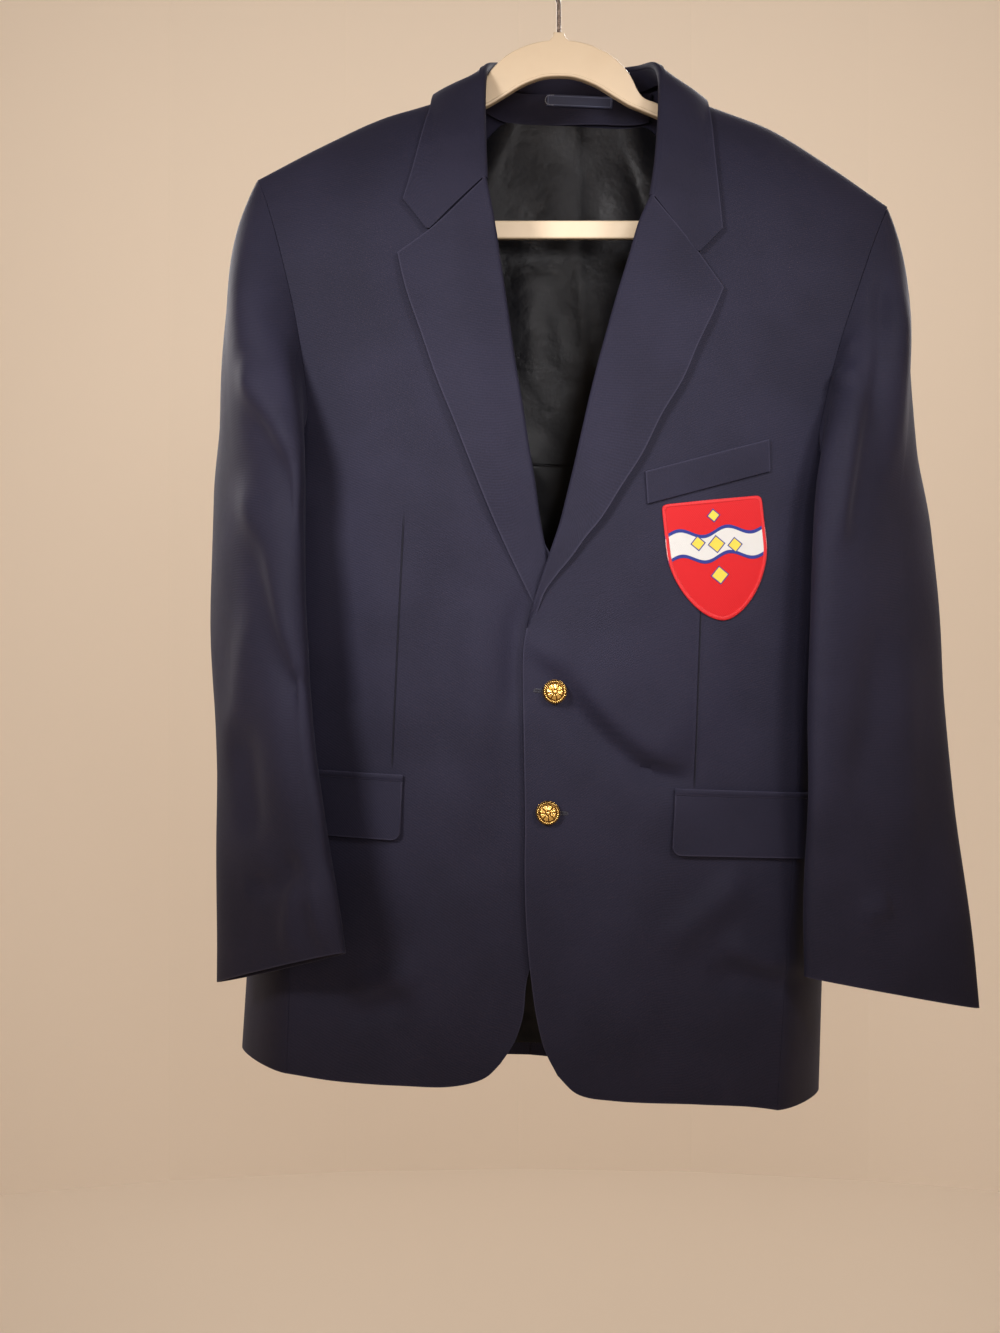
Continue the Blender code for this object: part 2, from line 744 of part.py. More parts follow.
def clear_of_body(point, rise):
    """Moves a point out of the coat's own outline at its x, so that what lies on it is clear of it."""
    x, y, z = point
    spots = []
    for share in np.linspace(-1, 1, 121):
        top = ridge(x) + (neck_rise(abs(x - NECK_MIDDLE)) * (1 - share) if share > 0 else 0)
        height = top - 190 * abs(share) ** 1.6
        spots.append((back_y(x, height) if share > 0 else front_y(x, height), height))
    spots = np.array(spots)
    near = np.argmin(np.sum((spots - (y, z)) ** 2, axis=1))
    along = spots[min(near + 1, 120)] - spots[max(near - 1, 0)]
    out = np.array([-along[1], along[0]]) / np.linalg.norm(along)
    short = max(0.0, rise - float(np.dot((y, z) - spots[near], out)))
    return np.array([x, y + short * out[0], z + short * out[1]])


def collar(collection, material):
    fold_line, edge_line = collar_lines()
    count = 34
    rows, stand_tops = [], []
    shares = (0.2, 0.45, 0.66, 0.84, 1.0)
    for j in range(count + 1):
        t = j / count
        fold, edge = fold_line(t), edge_line(t)
        along = fold_line(min(t + 0.01, 1)) - fold_line(max(t - 0.01, 0))
        along /= np.linalg.norm(along)
        hint = np.array([fold[0] * 0.6, 0.0, 0.0]) + np.array([0, fold[1], 30.0])
        section = fold_section(fold, edge, along, shares, 2.5, hint)
        stand_tops.append(section[0])
        girth = min(t, 1 - t) * 480
        fade = (1 - smooth(girth / NOTCH_FADE)) ** 1.0
        side = RIGHT if t < 0.5 else LEFT
        gorge, notch, point = (np.array(p, float) for p in GORGE[side])
        chord = gorge + (point - gorge) * NOTCH_SHARE
        for k in range(len(section)):
            share = shares[k - 5] if k >= 5 else 0.0
            tent = min(share / NOTCH_SHARE, (1 - share) / (1 - NOTCH_SHARE))
            shift = (notch - chord) * tent * fade
            moved = section[k] + np.array([shift[0], 0, shift[1]])
            section[k] = clear_of_body(moved, CLOTH + LAY + 1.7) if k >= 5 else moved
        rows.append(section)
    wall("collar", rows, CLOTH, (0, 0.3, 1), material, collection)
    return stand_tops


def collar_stand(stand_tops, collection, material):
    """The stand inside the collar, from just under the fold down to the neck seam."""
    count = len(stand_tops)
    seam_line = path(NECK_SEAM)
    first, last = int(STAND_START * count), int((1 - STAND_START) * count)
    rows = []
    for j in range(first, last + 1):
        t = (j - first) / (last - first)
        top, low = np.array(stand_tops[j]), seam_line(t)
        down = low - top
        down /= np.linalg.norm(down)
        top = top + down * STAND_GAP
        rows.append([top + (low - top) * share for share in (0, 0.5, 1)])
    return wall("collar_stand", rows, CLOTH, (0, -1, 0), material, collection)


def surface_panel(name, corners, across, down, lift, thickness, side, material, collection):
    """A small piece laid on the front: four corners as x and height, read clockwise from the inner top."""
    a, b, c, d = (np.array(corner, float) for corner in corners)
    rows = []
    for j in range(down + 1):
        v = j / down
        row = []
        for i in range(across + 1):
            u = i / across
            x, z = (1 - v) * ((1 - u) * a + u * b) + v * ((1 - u) * d + u * c)
            row.append((x, on_front(side, x, z, lift), z))
        rows.append(row)
    return wall(name, rows, thickness, (0, -1, 0), material, collection)


def hip_point(side, reach, z, lift):
    """A point out from the coat at a reach along its section from the centre, round on to the side panel."""

    def flat(distance):
        seam = front_seam(z)
        if distance <= seam:
            return np.array([side * distance, FRONTS[side](side * distance, z)])
        start = side_point(side, 0, z)
        length = np.linalg.norm(side_point(side, 1, z) - start)
        return side_point(side, (distance - seam) / length, z)[:2]

    ahead = flat(reach + 4) - flat(reach - 4)
    ahead /= np.linalg.norm(ahead)
    out = side * np.array([ahead[1], -ahead[0]])
    at = flat(reach) + lift * out
    return np.array([at[0], at[1], z])


def hip_pocket(side, collection, material):
    size = FLAP[side]
    across = 10
    start = size["front"]
    length = np.linalg.norm(side_point(side, 1, -600) - side_point(side, 0, -600))
    end = front_seam(-600) + FLAP_SIDE_SHARE * length
    lift = CLOTH + POCKET_LAY
    rows = []
    for j in range(5):
        row = []
        for i in range(across + 1):
            reach = start + (end - start) * (i / across)
            low = size["low"]
            for corner in (reach - start, end - reach):
                if corner < FLAP_CORNER:
                    low += FLAP_CORNER - math.sqrt(FLAP_CORNER**2 - (FLAP_CORNER - corner) ** 2)
            row.append(hip_point(side, reach, size["top"] + (low - size["top"]) * j / 4, lift))
        rows.append(row)
    name = SIDE_NAMES[side]
    wall("flap_" + name, rows, CLOTH, (side * 0.3, -1, 0), material, collection)
    top = size["top"] + 0.4
    jet = []
    for j in range(3):
        z = top + JET_TALL * (2 - j) / 2
        jet.append([hip_point(side, start + (end - start) * i / across, z, lift) for i in range(across + 1)])
    return wall("jetting_" + name, jet, CLOTH, (side * 0.3, -1, 0), material, collection)


def shield_radius(angle):
    """Half-size of the shield outline in a direction, with 1 as its half width."""
    x, z = math.cos(angle), math.sin(angle)
    if z >= 0:
        return min(1 / max(abs(x), 1e-6), 0.86 / max(z, 1e-6))
    return 1 / (abs(x) ** 1.7 + (abs(z) / 1.25) ** 1.7) ** (1 / 1.7)


def patch(collection, material):
    """A shield-shaped badge, sewn on under the welt."""
    sectors, rings = 28, (0.0, 0.34, 0.67, 1.0)
    cos, sin = math.cos(PATCH_TURN), math.sin(PATCH_TURN)
    rows = []
    for ring in rings:
        row = []
        for i in range(sectors):
            angle = 2 * math.pi * (i + 0.5) / sectors
            size = shield_radius(angle) * max(ring, 0.02)
            x = size * math.cos(angle) * PATCH_HALF_WIDTH
            z = size * math.sin(angle) * PATCH_HALF_HEIGHT
            x, z = PATCH_CENTRE[0] + x * cos - z * sin, PATCH_CENTRE[1] + x * sin + z * cos
            row.append((x, on_front(LEFT, x, z, TRIM + 0.4), z))
        rows.append(row)
    obj = wall("patch", rows, TRIM, (0, -1, 0), material, collection, ring=True)
    mesh = obj.data
    work = bmesh.new()
    work.from_mesh(mesh)
    work.verts.ensure_lookup_table()
    bmesh.ops.pointmerge(
        work,
        verts=work.verts[:sectors],
        merge_co=sum((v.co for v in work.verts[:sectors]), work.verts[0].co * 0) / sectors,
    )
    work.to_mesh(mesh)
    work.free()
    return obj


def inside_back(x, z, depth):
    """Depth of a point inside the back, at a distance from its outer face measured square to it."""
    slope_x = back_y(x + 1, z) - back_y(x - 1, z)
    slope_z = back_y(x, z + 1) - back_y(x, z - 1)
    return back_y(x, z) - depth * math.sqrt(1 + (slope_x**2 + slope_z**2) / 4)


def neck_pieces(collection, cloth, lining, label):
    facing_depth = CLOTH + FACING_GAP + TRIM
    rows = []
    for j in range(4):
        row = []
        for i in range(13):
            u = i / 12
            x = FACING_ENDS[0] + (FACING_ENDS[1] - FACING_ENDS[0]) * u
            low = FACING_LOW - 2 * math.sin(2 * math.pi * u)
            z = FACING_TOP - 1.5 + (low - FACING_TOP) * j / 3 - 5 * (2 * u - 1) ** 2 * (1 - j / 3)
            row.append((x, inside_back(x, z, facing_depth), z))
        rows.append(row)
    wall("neck_facing", rows, TRIM, (0, -1, 0), cloth, collection)

    rows = []
    for j in range(3):
        z = LABEL_TOP + (LABEL_LOW - LABEL_TOP) * j / 2
        row = []
        for i in range(7):
            x = LABEL_LEFT + (LABEL_RIGHT - LABEL_LEFT) * i / 6
            row.append((x, inside_back(x, z, facing_depth + 0.4 + LINING), z))
        rows.append(row)
    wall("label", rows, LINING, (0, -1, 0), label, collection)

    rows = []
    down = 14
    for j in range(down + 1):
        row = []
        v = (j / down) ** 1.2
        for x in (-222, -180, -130, -80, -40, -10, PLEAT_X - PLEAT_WIDE / 2, PLEAT_X, 12, 40, 80, 130, 180, 222):
            top = FACING_LOW - 4.5 - 75 * smooth((abs(x) - 55) / 60) - 0.55 * max(0.0, abs(x) - 115)
            low = BACK_HEM[RIGHT][0][1] + LINING_LOW
            z = top + (low - top) * v
            pleat = PLEAT_HIGH * (1 - v) if x == PLEAT_X else 0.0
            row.append((x, inside_back(x, z, CLOTH + LINING_GAP + LINING + pleat), z))
        rows.append(row)
    return wall("lining_back", rows, LINING, (0, -1, 0), lining, collection)


def button(name, collection, material):
    """A domed shank button, turned about its axis."""
    x, z = BUTTON_XZ[name]
    mesh = bpy.data.meshes.new(name)
    points = [(radius * MM, 0.0, height * MM) for radius, height in reversed(BUTTON_PROFILE)]
    mesh.from_pydata(points, [(i, i + 1) for i in range(len(points) - 1)], [])
    obj = add_object(name, mesh, material, collection)
    screw = obj.modifiers.new("turn", "SCREW")
    screw.steps = screw.render_steps = BUTTON_SIDES
    screw.use_merge_vertices = True
    screw.merge_threshold = 0.00001
    screw.use_normal_calculate = True
    obj.location = to_world((x, front_y(x, z), z))
    obj.rotation_euler = (math.radians(90), 0, 0)
    return obj


def hanger(collection, material):
    """The moulded arch and arms with the bar below them, as one flat outline with a window."""
    arm_top, arm_low = curve(HANGER_ARM, 1), curve(HANGER_ARM, 2)
    last = HANGER_ARM[-1][0]
    reach = [0, 5, 10, 20, 30, 40, 50, 56, 61, 66.5, 73, 81, 100, 130, 160, last]
    end = path([(last, arm_top(last)), *HANGER_END])
    inner_end = path([(last - 8, arm_low(last - 8)), *HANGER_END_INNER])
    half = [(NECK_HALF, NECK_TOP), (NECK_HALF + 2.5, arm_top(NECK_HALF + 2.5))]
    half += [(d, arm_top(d)) for d in reach if d > NECK_HALF + 5]
    half += [tuple(end(share)) for share in np.linspace(0.12, 1, 10)]
    window = [(d, arm_low(d)) for d in reach[:-1]]
    window += [tuple(inner_end(share)) for share in np.linspace(0, 1, 8)]

    data = bpy.data.curves.new("hanger", "CURVE")
    data.dimensions = "2D"
    data.fill_mode = "BOTH"
    data.extrude = (HANGER_THICK / 2 - HANGER_ROUND) * MM
    data.bevel_depth = HANGER_ROUND * MM
    data.offset = -HANGER_ROUND * MM
    data.bevel_resolution = 0
    for outline in (half, window):
        whole = outline + [(-d, z) for d, z in reversed(outline) if d > 0]
        spline = data.splines.new("POLY")
        spline.points.add(len(whole) - 1)
        spline.use_cyclic_u = True
        for spot, (d, z) in zip(spline.points, whole):
            spot.co = ((HANGER_MIDDLE + d) * MM, z * MM, 0, 1)
    obj = bpy.data.objects.new("hanger", data)
    data.materials.append(material)
    collection.objects.link(obj)
    obj.rotation_euler = (math.radians(90), 0, 0)
    return obj


def hook(collection, material):
    """The bent wire: an open ring over the rail, a bend back to the middle and a straight stem."""
    centre_z = WIRE_RADIUS - HOOK_RADIUS
    points = []
    for i in range(HOOK_POINTS + 1):
        angle = math.radians(-15 + 225 * i / HOOK_POINTS)
        points.append((HOOK_RADIUS * math.cos(angle), centre_z + HOOK_RADIUS * math.sin(angle)))
    points += [(-13.5, -43.5), (-6, -48), (-0.5, -53.5), (HANGER_MIDDLE, -60), (HANGER_MIDDLE, NECK_TOP + 0.3)]
    route = path(points)
    data = bpy.data.curves.new("hanger_hook", "CURVE")
    data.dimensions = "3D"
    data.bevel_depth = WIRE_RADIUS * MM
    data.bevel_resolution = 2
    data.use_fill_caps = True
    spline = data.splines.new("POLY")
    count = 34
    spline.points.add(count)
    for i, spot in enumerate(spline.points):
        x, z = route(i / count)
        spot.co = (x * MM, 0, z * MM, 1)
    obj = bpy.data.objects.new("hanger_hook", data)
    data.materials.append(material)
    collection.objects.link(obj)
    return obj


def main():
    for obj in list(bpy.data.objects):
        bpy.data.objects.remove(obj)
    collection = bpy.data.collections.new("blazer_on_hanger")
    bpy.context.scene.collection.children.link(collection)

    cloth = finish("navy_wool", (0.016, 0.016, 0.03), 0.85)
    trim = finish("navy_trim", (0.018, 0.018, 0.033), 0.85)
    satin = finish("black_satin", (0.006, 0.006, 0.008), 0.35)
    gold = finish("gold_button", (0.85, 0.58, 0.18), 0.28, 1.0)
    badge = finish("badge_red", (0.75, 0.02, 0.03), 0.7)
    woven = finish("label_blue", (0.01, 0.015, 0.06), 0.7)
    cream = finish("cream_plastic", (0.86, 0.78, 0.62), 0.4)
    wire = finish("hook_steel", (0.2, 0.17, 0.15), 0.35, 1.0)

    for side in (RIGHT, LEFT):
        front_panel(side, collection, cloth)
        side_panel(side, collection, cloth)
        back_panel(side, collection, cloth)
        sleeve(side, collection, cloth)
        lapel(side, collection, cloth)
        hip_pocket(side, collection, trim)
    stand_tops = collar(collection, cloth)
    collar_stand(stand_tops, collection, cloth)
    surface_panel("welt_pocket", WELT_CORNERS, 6, 2, CLOTH + LAY, CLOTH, LEFT, trim, collection)
    patch(collection, badge)
    neck_pieces(collection, cloth, satin, woven)
    for name in BUTTON_XZ:
        button(name, collection, gold)
    hanger(collection, cream)
    hook(collection, wire)


main()
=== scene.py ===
"""Looks of a two-button wool blazer on a moulded hanger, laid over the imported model's frame.

Lengths are millimetres in the coat's own frame (x to the wearer's left, y to the back, z up, its origin between the
tops of the shoulders) until CoatForm.to_world turns them into the frame's metres. The hanger and its hook are drawn
straight in the frame, whose origin is where a rail bears on the hook.
"""

import logging
import math
from dataclasses import dataclass, field
from enum import Enum
from typing import Any, Callable, Sequence

import bmesh
import bpy
import numpy as np
from mathutils.kdtree import KDTree
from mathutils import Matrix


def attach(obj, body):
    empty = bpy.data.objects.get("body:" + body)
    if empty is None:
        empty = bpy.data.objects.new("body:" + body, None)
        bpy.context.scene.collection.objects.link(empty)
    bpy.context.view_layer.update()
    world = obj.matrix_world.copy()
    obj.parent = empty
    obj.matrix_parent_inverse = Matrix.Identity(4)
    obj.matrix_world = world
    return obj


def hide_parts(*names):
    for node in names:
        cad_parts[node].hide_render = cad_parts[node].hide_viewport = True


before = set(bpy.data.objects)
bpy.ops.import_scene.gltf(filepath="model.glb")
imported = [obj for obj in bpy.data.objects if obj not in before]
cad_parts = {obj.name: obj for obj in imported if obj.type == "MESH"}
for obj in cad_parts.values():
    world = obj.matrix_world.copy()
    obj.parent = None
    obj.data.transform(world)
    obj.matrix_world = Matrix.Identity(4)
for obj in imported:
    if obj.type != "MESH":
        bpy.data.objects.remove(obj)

Array = np.ndarray
Rows = tuple[tuple[float, ...], ...]
Pair = tuple[float, float]
Colour = Spot = tuple[float, float, float]
Line = tuple[Array, Array, Any]
Depth = Callable[[Array, Array], Array]
Material, Mesh, Socket, Thing = bpy.types.Material, bpy.types.Mesh, bpy.types.NodeSocket, bpy.types.Object

LOG = logging.getLogger("blazer")
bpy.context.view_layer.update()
MM = 0.001
CLOTH, TRIM, LINING, LAY = 2.0, 1.6, 1.0, 0.6
AHEAD = (0.0, -1.0, 0.0)
FAR, REACH = 1e9, 60.0
FOLD_STEPS, ARC_POINTS = 24, 11
SHARP = math.radians(62)
LEAST_LENGTH, LEAST_FILL = 0.0105, 0.301


class Side(Enum):
    """The wearer's sides, with the sign of x on each."""

    RIGHT = -1
    LEFT = 1

    @property
    def label(self) -> str:
        """The side's word in the names of the nodes."""
        return self.name.lower()


class Free(Enum):
    """The edges of a grid of cloth that are turned and pressed, not sewn to a neighbour."""

    INNER = 0
    OUTER = 1
    TOP = 2
    BOTTOM = 3


def smooth(value: Array) -> Array:
    """A soft step from 0 to 1 over the same range."""
    value = np.clip(value, 0.0, 1.0)
    return value * value * (3 - 2 * value)


def unit(vectors: Array) -> Array:
    """The same vectors at length 1."""
    return vectors / (np.linalg.norm(vectors, axis=-1, keepdims=True) + 1e-9)


def edged(count: int, length: float) -> Array:
    """Even shares of a length in mm, from 0 to 1, with more at both ends so that a turned edge shades tightly."""
    near = np.array([0.8, 2.2]) / length
    return np.unique(np.concatenate([np.linspace(0, 1, count + 1), near, 1 - near]))


def sides(right: Any, left: Any) -> Any:
    """A dataclass field that holds one value for each side."""
    return field(default_factory=lambda: {Side.RIGHT: right, Side.LEFT: left})


def between(t: Array, span: Array, first: Array, last: Array, leave: Array, arrive: Array) -> Array:
    """A cubic from one value to the next.

    Args:
        t: Shares of the way.
        span: Length of the way.
        first: Value at its start.
        last: Value at its end.
        leave: Slope at its start.
        arrive: Slope at its end.

    Returns:
        The values.
    """
    rise = first * (1 + 2 * t) * (1 - t) ** 2 + last * t * t * (3 - 2 * t)
    return rise + span * (leave * t * (1 - t) ** 2 + arrive * t * t * (t - 1))


class Curve:
    """A smooth function of one number through a table's rows, which never overshoots them."""

    def __init__(self, rows: Sequence[Sequence[float]], column: int = 1) -> None:
        """Reads one column of a table.

        Args:
            rows: Table whose first column is the key.
            column: Column of the values.
        """
        table = np.array(sorted((float(row[0]), float(row[column])) for row in rows))
        self.keys, self.values = table[:, 0], table[:, 1]
        steps = np.diff(self.values) / np.diff(self.keys)
        before, after = np.append(steps[0], steps), np.append(steps, steps[-1])
        limit = 3 * np.minimum(abs(before), abs(after))
        slopes = np.gradient(self.values, self.keys)
        self.slopes = np.where(before * after > 0, np.clip(slopes, -limit, limit), 0.0)

    def __call__(self, key: Array | float) -> Array:
        """The value at each key.

        Args:
            key: One key or an array of them.

        Returns:
            The values.
        """
        key = np.clip(key, self.keys[0], self.keys[-1])
        i = np.clip(np.searchsorted(self.keys, key) - 1, 0, len(self.keys) - 2)
        span = self.keys[i + 1] - self.keys[i]
        ends = self.values[i], self.values[i + 1], self.slopes[i], self.slopes[i + 1]
        return between((key - self.keys[i]) / span, span, *ends)


class Path:
    """A smooth line through points, as a function of the share of its length."""

    def __init__(self, points: Sequence[Sequence[float]] | Array) -> None:
        """Lays the line.

        Args:
            points: Points of two or three numbers.
        """
        spots = np.array(points, float)
        keys = np.concatenate([[0.0], np.cumsum(np.linalg.norm(np.diff(spots, axis=0), axis=1))])
        self.length = float(keys[-1])
        self.parts = [Curve(list(zip(keys, spots[:, i]))) for i in range(spots.shape[1])]

    def __call__(self, share: Array | float) -> Array:
        """The points at some shares of the length, on one more axis."""
        return np.stack([part(np.asarray(share) * self.length) for part in self.parts], -1)


@dataclass(frozen=True)
class Fold:
    """A soft ridge in hanging cloth, or a trough where its height is below zero.

    Attributes:
        line: Points along it, as x and height on the coat.
        height: How far it stands out, in mm.
        width: Half its width, in mm.
        lean: How much wider its side to the left of the line's way is, from -1 to 1.
        fade: Share of its length over which each end dies away.
    """

    line: Rows
    height: float
    width: float
    lean: float = 0.0
    fade: float = 0.3

    def at(self, x: Array, z: Array) -> Array:
        """How far the fold moves the cloth outwards.

        Args:
            x: Distances across the coat.
            z: Heights.

        Returns:
            The moves in mm.
        """
        spots = Path(self.line)(np.linspace(0, 1, FOLD_STEPS + 1))
        nearest, share, turn = (np.full(np.shape(x), value) for value in (FAR, 0.0, 0.0))
        for i, (a, b) in enumerate(zip(spots[:-1], spots[1:])):
            way = b - a
            t = np.clip(((x - a[0]) * way[0] + (z - a[1]) * way[1]) / (way @ way), 0, 1)
            dx, dz = x - a[0] - t * way[0], z - a[1] - t * way[1]
            distance = np.hypot(dx, dz)
            closer = distance < nearest
            nearest = np.where(closer, distance, nearest)
            share = np.where(closer, (i + t) / FOLD_STEPS, share)
            turn = np.where(closer, way[0] * dz - way[1] * dx, turn)
        width = self.width * (1 + self.lean * np.tanh(turn / (self.width * 4)))
        ends = smooth(share / self.fade) * smooth((1 - share) / self.fade)
        return self.height * ends * np.exp(-((nearest / width) ** 2))


FRONT_FOLDS = (
    Fold(((-24, -462), (26, -504), (72, -546), (120, -570)), 9.0, 22, 0.6, 0.22),
    Fold(((0, -500), (34, -540), (73, -568), (120, -580)), -6.0, 11, -0.3, 0.2),
    Fold(((60, -562), (92, -575), (122, -577)), -2.5, 5, 0.0, 0.3),
    Fold(((-24, -425), (-31, -470), (-30, -545)), -4.5, 9), Fold(((-56, -430), (-58, -500), (-54, -600)), 3.0, 18),
    Fold(((-97, -363), (-86, -459), (-83, -571), (-92, -627)), -4.5, 19),
    Fold(((-128, -400), (-132, -500), (-120, -585)), 2.0, 22),
    Fold(((169, -647), (129, -687), (94, -717)), 6.5, 14, 0.2),
    Fold(((142, -703), (179, -721), (212, -732)), 6.5, 11), Fold(((131, -733), (172, -738), (213, -744)), -6.5, 12),
    Fold(((-153, -768), (-120, -752), (-88, -744)), 5.5, 12),
    Fold(((-160, -786), (-125, -772), (-92, -768)), -4.0, 11), Fold(((60, -300), (62, -420), (44, -470)), 1.6, 26),
    Fold(((150, -440), (158, -520), (150, -585)), -2.0, 22), Fold(((184, -300), (176, -400), (184, -520)), 2.4, 20),
    Fold(((-184, -310), (-170, -420), (-178, -560)), -2.4, 18),
    Fold(((-60, -640), (-66, -740), (-58, -828)), 2.6, 28),
    Fold(((-130, -660), (-138, -740), (-132, -828)), -2.0, 26), Fold(((70, -650), (74, -740), (66, -832)), 2.4, 26),
)
BACK_FOLDS = (
    Fold(((-150, -150), (-122, -320), (-112, -500)), 3.5, 26),
    Fold(((-62, -200), (-72, -420), (-60, -590)), -2.6, 22), Fold(((122, -170), (106, -350), (114, -560)), 3.2, 24),
    Fold(((58, -260), (66, -500), (56, -700)), -2.8, 22), Fold(((-92, -34), (-6, -50), (82, -38)), 1.6, 13),
    Fold(((-236, -236), (-186, -296), (-136, -322)), 4.0, 13, 0.2),
    Fold(((-232, -262), (-180, -318), (-128, -350)), -3.2, 12),
    Fold(((234, -250), (182, -312), (126, -346)), 3.6, 14, 0.2),
    Fold(((236, -284), (190, -340), (150, -360)), -2.8, 12),
    Fold(((-172, -600), (-182, -720), (-176, -845)), 4.0, 26, 0.0, 0.45),
    Fold(((-100, -620), (-112, -740), (-106, -845)), -3.2, 24, 0.0, 0.45),
    Fold(((38, -600), (50, -720), (44, -845)), 3.2, 28, 0.0, 0.45),
    Fold(((112, -640), (116, -740), (110, -850)), -3.2, 22, 0.0, 0.45),
    Fold(((176, -600), (186, -720), (180, -850)), 4.0, 24, 0.0, 0.45),
)
SLEEVE_FOLDS = {
    Side.RIGHT: (
        Fold(((-262, -246), (-251, -277), (-233, -308), (-208, -346)), 7.2, 12),
        Fold(((-256, -282), (-223, -347), (-204, -417)), -6.4, 12),
        Fold(((-262, -340), (-234, -418), (-213, -481), (-197, -526)), 8.0, 12),
        Fold(((-252, -366), (-226, -458), (-198, -543), (-170, -645), (-155, -674)), -8.8, 12, 0.0, 0.18),
        Fold(((-203, -510), (-184, -590), (-167, -660)), 7.2, 11),
        Fold(((-252, -540), (-239, -609), (-232, -654)), -5.6, 13), Fold(((-216, -520), (-188, -509)), -4.8, 7),
        Fold(((-192, -664), (-197, -736)), 5.1, 9), Fold(((-181, -662), (-164, -726)), 5.1, 8),
        Fold(((-241, -681), (-208, -671), (-191, -644)), -5.4, 9), Fold(((-243, -165), (-223, -158)), 2.6, 6),
        Fold(((-238, -440), (-250, -520), (-262, -600)), 3.8, 14),
    ),
    Side.LEFT: (
        Fold(((250, -120), (256, -210), (252, -266), (241, -347), (229, -400)), -6.4, 12, 0.0, 0.2),
        Fold(((234, -246), (224, -324), (218, -402)), 6.4, 11),
        Fold(((267, -150), (271, -249), (266, -336)), 5.4, 13), Fold(((208, -227), (237, -216)), 3.5, 7),
        Fold(((211, -251), (237, -242)), 3.5, 7), Fold(((256, -682), (284, -669)), 4.5, 10),
        Fold(((262, -420), (258, -520), (246, -610)), -3.8, 16),
        Fold(((286, -430), (292, -560), (300, -660)), 4.2, 18),
    ),
}


